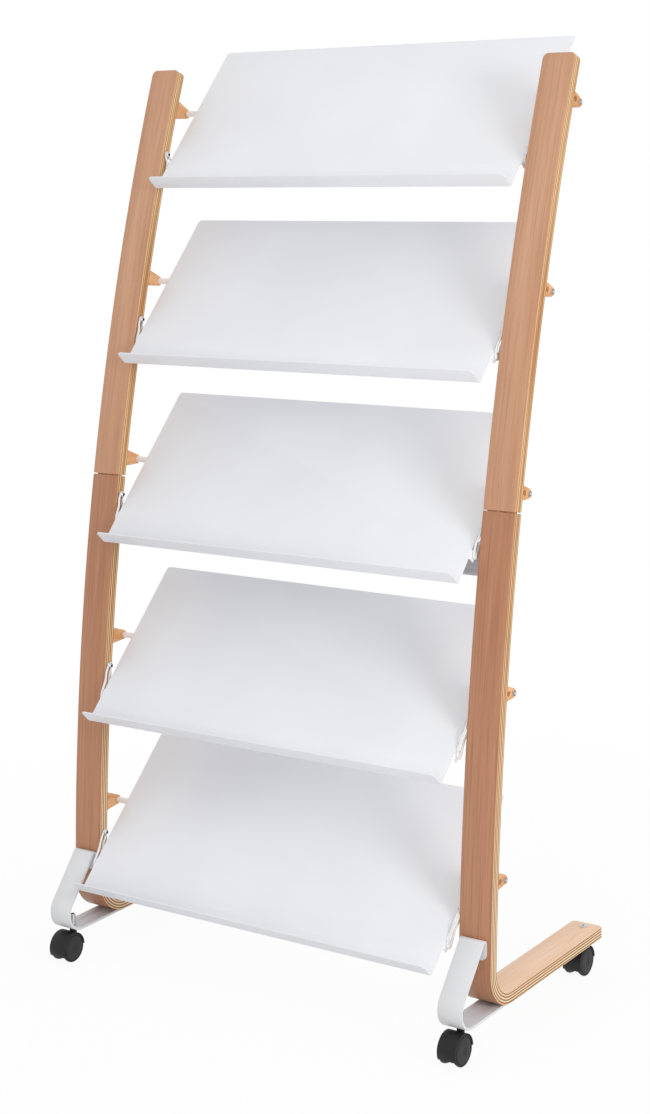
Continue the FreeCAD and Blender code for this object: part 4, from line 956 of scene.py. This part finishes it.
def new_link_tree():
    sizes = [(name, "Float") for name in LINK_SIZES]
    tree, graph, given = new_tree("slotted link", [("Segments", "Int"), *sizes])
    length, wide, ring, start, end, slot_wide, slot_ring = (given.out(name) for name in LINK_SIZES)
    grid, turn, (share, ease, height) = round_grid(graph, given)
    along, across = turn.math("COSINE"), turn.math("SINE")

    def hull(near, far, near_radius, far_radius):
        """The point of a hull of two circles that faces the turn."""
        split = (near_radius - far_radius) / (far - near)
        at_far = along > split
        middle = near + (far - near) * at_far
        radius = near_radius + (far_radius - near_radius) * at_far
        return middle + radius * along, radius * across

    out_x, out_y = hull(length * 0, length, wide, ring)
    in_x, in_y = hull(start, end, slot_wide, slot_ring)
    x = out_x + (in_x - out_x) * share + along * ease
    y = out_y + (in_y - out_y) * share + across * ease
    values = {0: grid, SET_PLACE: graph.join(x, y, height)}
    wrapped = graph.add("GeometryNodeSetPosition", {}, values)
    end_tree(graph, given, closed_up(graph, wrapped))
    return tree


link_tree = new_link_tree()
half, soft = LINK_THICK / 2, LINK_SOFT
LINK_SECTION = (
    (0, -soft, half), (0, 0, half - soft), (0, 0, soft - half), (0, -soft, -half),
    (1, soft, -half), (1, 0, soft - half), (1, 0, half - soft), (1, soft, half), (0, -soft, half),
)
print("link section of", len(LINK_SECTION), "points")

# %% [markdown]
# ## Cranked links
# Each link is flat when the tree has made it. A few cuts across it give its
# narrow end the points to be cranked towards the board, and then it is turned
# to run from its rivet to its bolt. Its wide end sits a little up the slope and
# behind it.

# %% Make the links
CRANK_CUTS = (0.4, 0.5, 0.6, 0.7, 0.8)
CRANK_FROM, CRANK_LONG = CRANK_CUTS[0], CRANK_CUTS[-1] - CRANK_CUTS[0]
UP_SLOPE, BEHIND_SLOPE = 4 * MM, 2 * MM
LINK_SHARP = 50
LINK_SHAPE = {
    "Segments": 96, "Rivet end": 7.5 * MM, "Bolt end": 5.2 * MM, "Slot start": 8 * MM,
    "Slot half at rivet": 3.6 * MM, "Slot half at bolt": 3.0 * MM, "Finish": link_coat,
}


def one_link(name, rivet, bolt, middle_x, side):
    """A slotted link whose bolt end is cranked towards the board."""
    mesh = bpy.data.meshes.new(name)
    section = [(share, ease * MM, height * MM) for share, ease, height in LINK_SECTION]
    mesh.from_pydata(section, [], [])
    reach = (bolt - rivet).length
    link = run_tree(name, mesh, link_tree, LINK_SHAPE | {"Length": reach, "Slot end": reach})
    cuts = bmesh.new()
    cuts.from_mesh(link.data)
    for share in CRANK_CUTS:
        everything = cuts.verts[:] + cuts.edges[:] + cuts.faces[:]
        place = (reach * share, 0, 0)
        bmesh.ops.bisect_plane(cuts, geom=everything, plane_co=place, plane_no=(1, 0, 0))
    for corner in cuts.verts:
        share = min(1, max(0, (corner.co.x / reach - CRANK_FROM) / CRANK_LONG))
        corner.co.z += side * JOGGLE * share * share * (3 - 2 * share)
    cuts.to_mesh(link.data)
    cuts.free()
    ahead = (bolt - rivet).normalized()
    outer = Vector((1, 0, 0))
    turn = Matrix((ahead, outer.cross(ahead), outer)).transposed().to_4x4()
    link.data.transform(Matrix.Translation((middle_x, rivet.y, rivet.z)) @ turn)
    outward(link.data)
    return link


def joined(name, pieces):
    """One mesh object from several, at the origin."""
    shape = bmesh.new()
    finish = pieces[0].data.materials[0]
    for piece in pieces:
        shape.from_mesh(piece.data)
        bpy.data.objects.remove(piece)
    mesh = bpy.data.meshes.new(name)
    shape.to_mesh(mesh)
    shape.free()
    mesh.materials.append(finish)
    return added(name, mesh)


def upwards(node, side):
    """The middles of a node's solids on one side, from the lowest to the highest."""
    middles = [middle_of(spots) for spots in islands(node) if spots.mean(0)[0] * side > 0]
    return sorted(middles, key=lambda spot: spot[2])


for name, side in SIDES:
    low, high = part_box(f"{name}_shelf_links")
    links = []
    pairs = zip(upwards("link_rivets", side), upwards("link_bolts", side))
    for number, (rivet, bolt) in enumerate(pairs):
        start, end = (Vector((0, spot[1], spot[2])) for spot in (rivet, bolt))
        start += Vector((0, 1, 1)).normalized() * UP_SLOPE
        start += Vector((0, 1, -1)).normalized() * BEHIND_SLOPE
        links.append(one_link(f"{name}_link_{number}", start, end, (low.x + high.x) / 2, side))
    whole = smooth(joined(f"{name}_slotted_links", links), LINK_SHARP)
    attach(whole, "frame")
    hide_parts(f"{name}_shelf_links")
    print(name, len(links), "links")

# %% [markdown]
# ## Caster wheels
# Each caster has two wheels of moulded nylon beside its hood. A wheel's tread
# is crowned: full at the outer side and falling away inwards, which leaves a
# notch between the two where they meet the floor. A ring is sunk into the disc,
# and its hollow is painted near black as shade.

# %% Turn the wheels
WHEEL_WIDE = 11.3
# The rows of the sunk ring are painted near black as shade.
WHEEL_PROFILE = (
    (0, -WHEEL_WIDE, ROUND), (17.2, -WHEEL_WIDE, ROUND), (18.4, -11.0, ROUND), (20.3, -9.8, ROUND),
    (22.0, -8.0, ROUND), (23.3, -5.8, ROUND), (24.1, -3.6, ROUND), (24.3, -2.2, ROUND),
    (24.2, -1.2, ROUND), (23.7, -0.5, ROUND), (23.0, -0.15, ROUND), (22.2, -0.05, ROUND),
    (21.9, -0.3, SHADED_HOLLOW), (21.6, -1.0, SHADED_HOLLOW), (21.0, -1.0, SHADED_HOLLOW), (20.7, -0.5, SHADED_HOLLOW),
    (20.3, -0.3, ROUND), (14.0, -0.1, ROUND), (6.0, 0, ROUND), (5.4, -0.1, ROUND),
    (5.2, -0.5, ROUND), (0, -0.5, ROUND),
)
WHEEL_SEGMENTS = 64
CORNERS = [f"{end}_{name}" for end in ("front", "rear") for name, side in SIDES]
for corner in CORNERS:
    for name, side in SIDES:
        node = f"{corner}_caster_wheel_{name}"
        low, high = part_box(node)
        middle = (low + high) / 2
        face = Vector((high.x if side > 0 else low.x, middle.y, middle.z))
        wheel = turned(node + "_turned", WHEEL_PROFILE, WHEEL_SEGMENTS)
        place = [(face, Vector((side, 0, 0)))]
        set_out(node + "_crowned", wheel, place, wheel_nylon, node, node, "wheel_plastic")

# %% [markdown]
# ## Rods, stems and nuts
# The rods under the shelves are drawn steel with eased ends. The front casters
# screw into threaded sleeves on the straps, and the rear stems end in a low
# round nut on top of the foot. The sleeve's open top and the nut's small hole
# are painted dark as shade.

# %% Turn the rods and sleeves
FINE_SEGMENTS, ROD_SOFT = 40, 0.4
THREAD_RADIUS, THREAD_STEP, THREAD_DEPTH, THREAD_END = 4.7, 0.25, 0.25, 0.6
RING_PROUD = 2.2
for number in SHELVES:
    node = f"support_rod_{number}"
    low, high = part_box(node)
    long, radius = (high.x - low.x) / MM, (high.z - low.z) / 2 / MM
    middle = (low + high) / 2
    profile = [
        (0, -long, ROUND), (radius - ROD_SOFT, -long, ROUND), (radius, -long + ROD_SOFT, ROUND),
        (radius, -ROD_SOFT, ROUND), (radius - ROD_SOFT, 0, ROUND), (0, 0, ROUND),
    ]
    rod = turned(node + "_turned", profile, FINE_SEGMENTS)
    set_out(
        node + "_drawn", rod, [(Vector((high.x, middle.y, middle.z)), Vector((1, 0, 0)))],
        link_coat, "frame", node, "white_rod",
    )

low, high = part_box("stem_sleeves")
tall = (high.z - low.z) / MM
steps = range(1, int((tall - THREAD_END) / THREAD_STEP))
threads = [(THREAD_RADIUS, -tall + THREAD_STEP * step, THREAD) for step in steps]
# The sleeve's open top is painted dark as shade.
sleeve = turned("sleeve_turned", [
    (0, -tall, ROUND), (THREAD_RADIUS, -tall, ROUND), *threads, (4.4, -0.4, ROUND),
    (4.0, 0, ROUND), (2.7, 0, SHADED_HOLLOW), (2.5, -3, SHADED_HOLLOW), (0, -3, SHADED_HOLLOW),
], FINE_SEGMENTS, THREAD_DEPTH)
set_out(
    "stem_sleeves_threaded", sleeve, seats("stem_sleeves", lambda middle: (0, 0, 1)),
    zinc, "frame", "stem_sleeves", "zinc",
)
foot_top = FOOT_HEIGHT + BOARD_THICK
ring_places = []
for spots in islands("stem_nuts"):
    middle = middle_of(spots)
    top = Vector((middle[0], middle[1], foot_top + RING_PROUD * MM))
    ring_places.append((top, Vector((0, 0, 1))))
# The nut's small centre hole is painted dark as shade.
ring = turned("ring_turned", [
    (0, -RING_PROUD, ROUND), (6, -RING_PROUD, ROUND), (6, -0.9, ROUND), (5.6, -0.35, ROUND),
    (4.8, 0, ROUND), (2.2, 0, ROUND), (2.0, -0.3, SHADED_HOLLOW), (1.9, -1.3, SHADED_HOLLOW), (0, -1.3, SHADED_HOLLOW),
], FINE_SEGMENTS)
set_out("stem_nuts_low", ring, ring_places, zinc, "frame", "stem_nuts", "zinc")

# %% [markdown]
# ## Eased edges
# Cut wood and folded steel never end in a knife edge. A copy of the packed
# node is merged, its flat faces are joined, and its sharp edges are bevelled a
# little, so that they catch a line of light. On the way a front strap is
# stretched a little and a caster's hood is cut higher.

# %% Ease the edges of wood, steel and nylon
LOOSE = 2e-6
FLAT, SHARP = math.radians(1), math.radians(30)
EAR_EASE, STRAP_EASE, HOOD_EASE, SHEET_EASE = 0.9, 0.6, 0.5, 0.35


def eased(node, width, finish, body="frame", change=None):
    """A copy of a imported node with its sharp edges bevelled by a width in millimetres."""
    shape = bmesh.new()
    shape.from_mesh(nodes[node].data)
    bmesh.ops.remove_doubles(shape, verts=shape.verts, dist=LOOSE)
    if change:
        change(shape)
    bmesh.ops.dissolve_limit(shape, angle_limit=FLAT, verts=shape.verts, edges=shape.edges)
    edges = [edge for edge in shape.edges if edge.is_manifold and edge.calc_face_angle(0) > SHARP]
    bmesh.ops.bevel(
        shape, geom=edges, offset=width * MM, segments=2, profile=0.5, affect="EDGES",
        clamp_overlap=True,
    )
    bmesh.ops.recalc_face_normals(shape, faces=shape.faces)
    mesh = bpy.data.meshes.new(node + "_eased")
    shape.to_mesh(mesh)
    shape.free()
    mesh.materials.append(finish)
    piece = added(node + "_eased", mesh)
    smooth(piece, 30)
    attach(piece, body)
    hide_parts(node)
    print(node, "eased,", len(mesh.polygons), "faces")


STRAP_RAISE = 4.5 * MM
STRAP_RUN_LOW, STRAP_RUN = 80 * MM, 67 * MM
HOOD_HEM = 13.5 * MM


def raise_strap(shape):
    """Lengthens the rising run a little and lets the tab slide up the board."""
    for corner in shape.verts:
        share = min(1, max(0, (corner.co.z - STRAP_RUN_LOW) / STRAP_RUN))
        corner.co.z += STRAP_RAISE * share
        corner.co.y += STRAP_RAISE * share * math.tan(START_LEAN)


def trim_hood(shape):
    """Cuts the hood's hem higher, so that the wheels show below it."""
    everything = shape.verts[:] + shape.edges[:] + shape.faces[:]
    cut = bmesh.ops.bisect_plane(
        shape, geom=everything, dist=SAME_PLACE, plane_co=(0, 0, HOOD_HEM), plane_no=(0, 0, 1),
        clear_inner=True,
    )
    rim = [item for item in cut["geom_cut"] if isinstance(item, bmesh.types.BMEdge)]
    bmesh.ops.triangle_fill(shape, use_beauty=True, use_dissolve=False, edges=rim)


for name, side in SIDES:
    for number in SHELVES:
        eased(f"{name}_ear_{number}", EAR_EASE, beech)
    eased(f"{name}_front_strap", STRAP_EASE, steel_coat, change=raise_strap)
for corner in CORNERS:
    swivel = f"{corner}_caster_swivel"
    eased(f"{corner}_caster_hood", HOOD_EASE, hood_nylon, swivel, trim_hood)
for number in SHELVES:
    eased(f"shelf_{number}", SHEET_EASE, shelf_coat)
eased("cross_brace", SHEET_EASE, brace_coat)

# %% [markdown]
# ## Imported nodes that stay
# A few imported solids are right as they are: the tongues, the studs and cross
# nuts of the ears, the rivets and the stems. They keep their shape and only get
# a better finish, in the slots that they already have.

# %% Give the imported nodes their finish


def refinish(node, material):
    shown = nodes[node]
    for place in shown.material_slots:
        place.material = material
    print(node, "in", material.name)


for name, side in SIDES:
    refinish(f"{name}_joint_tongue", beech)
refinish("ear_studs", zinc)
# The cross nuts are near black partly as painted shade for the dark slit at each ear's root.
refinish("ear_barrel_nuts", dark_steel_and_shade)
refinish("link_rivets", link_coat)
for corner in CORNERS:
    refinish(f"{corner}_caster_stem", dark_steel_and_shade)

# %% [markdown]
# ## Light
# The world gives most of the light. A weak lamp in front reaches under every
# shelf, and a weaker one hangs above the front. The key lamp stands at the right. It
# lights the boards' edges, and the right upright's soft shadow falls on each
# shelf. Each lamp has a name, a place, a target, a size and a power.

# %% Light the studio
scene = bpy.context.scene
scene.view_settings.view_transform = "Standard"


def soft_lamp(name, place, target, size, power):
    lamp = bpy.data.lights.new(name, "AREA")
    lamp.shape, lamp.size, lamp.energy = "DISK", size, power
    holder = added(name, lamp)
    holder.location = place
    aim = Vector(target) - Vector(place)
    holder.rotation_euler = aim.to_track_quat("-Z", "Y").to_euler()


def seen_directly(graph):
    """1 for what the camera, a reflection or a clear material shows, and 0 for light."""
    ray = graph.add("ShaderNodeLightPath")
    rays = ray.out("Is Camera Ray") + ray.out("Is Glossy Ray") + ray.out("Is Transmission Ray")
    return rays > 0.5


LAMPS = (
    ("front fill", (1.2, -4.0, 1.15), (0, 0, 0.75), 1.6, 6),
    ("top fill", (0.2, -1.8, 3.0), (0, 0, 0.9), 1.4, 2),
    ("right key", (3.2, -1.1, 1.5), (0, 0, 0.7), 1.0, 35),
)
for name, place, target, size, power in LAMPS:
    soft_lamp(name, place, target, size, power)
WORLD_LEVEL = 0.86
WHITE = (1, 1, 1, 1)
world = bpy.data.worlds.new("studio")
scene.world = world
world.use_nodes = True
world.node_tree.nodes.clear()
sky = Graph(world.node_tree)
strength = WORLD_LEVEL + (1 - WORLD_LEVEL) * seen_directly(sky)
backdrop = sky.add("ShaderNodeBackground", {}, {"Color": WHITE, "Strength": strength})
sky.add("ShaderNodeOutputWorld", {}, {0: backdrop})
print("world and", len(LAMPS), "lamps set")

# %% [markdown]
# ## The floor
# The camera sees the world as plain white, and the floor fades into it away
# from the stand, so that only the shadow shows. A matt floor alone would show
# its far edge as a line.

# %% Lay the floor
FLOOR_REACH = 12
FLOOR_GLOW = 0.94
FADE_FROM, FADE_TO = 0.5, 1.6
FLOOR_GREY = (0.8, 0.8, 0.8, 1)


def new_floor_finish():
    material, graph = blank_material("white floor")
    far = graph.vector_math("LENGTH", object_place(graph)).out("Value")
    faded = FLOOR_GLOW + (1 - FLOOR_GLOW) * clamp_step(far, FADE_FROM, FADE_TO)
    share = seen_directly(graph) * faded
    matt = graph.add("ShaderNodeBsdfDiffuse", {}, {"Color": FLOOR_GREY})
    white = graph.add("ShaderNodeEmission", {}, {"Color": WHITE, "Strength": 1.0})
    blend = graph.add("ShaderNodeMixShader", {}, {0: share, 1: matt, 2: white})
    graph.add("ShaderNodeOutputMaterial", {}, {0: blend})
    return material


floor_mesh = bpy.data.meshes.new("floor")
turns = ((-1, -1), (1, -1), (1, 1), (-1, 1))
corners = [(across * FLOOR_REACH, deep * FLOOR_REACH, 0) for across, deep in turns]
floor_mesh.from_pydata(corners, [], [(0, 1, 2, 3)])
floor_mesh.materials.append(new_floor_finish())
floor = added("floor", floor_mesh)
print("floor of", 2 * FLOOR_REACH, "m")
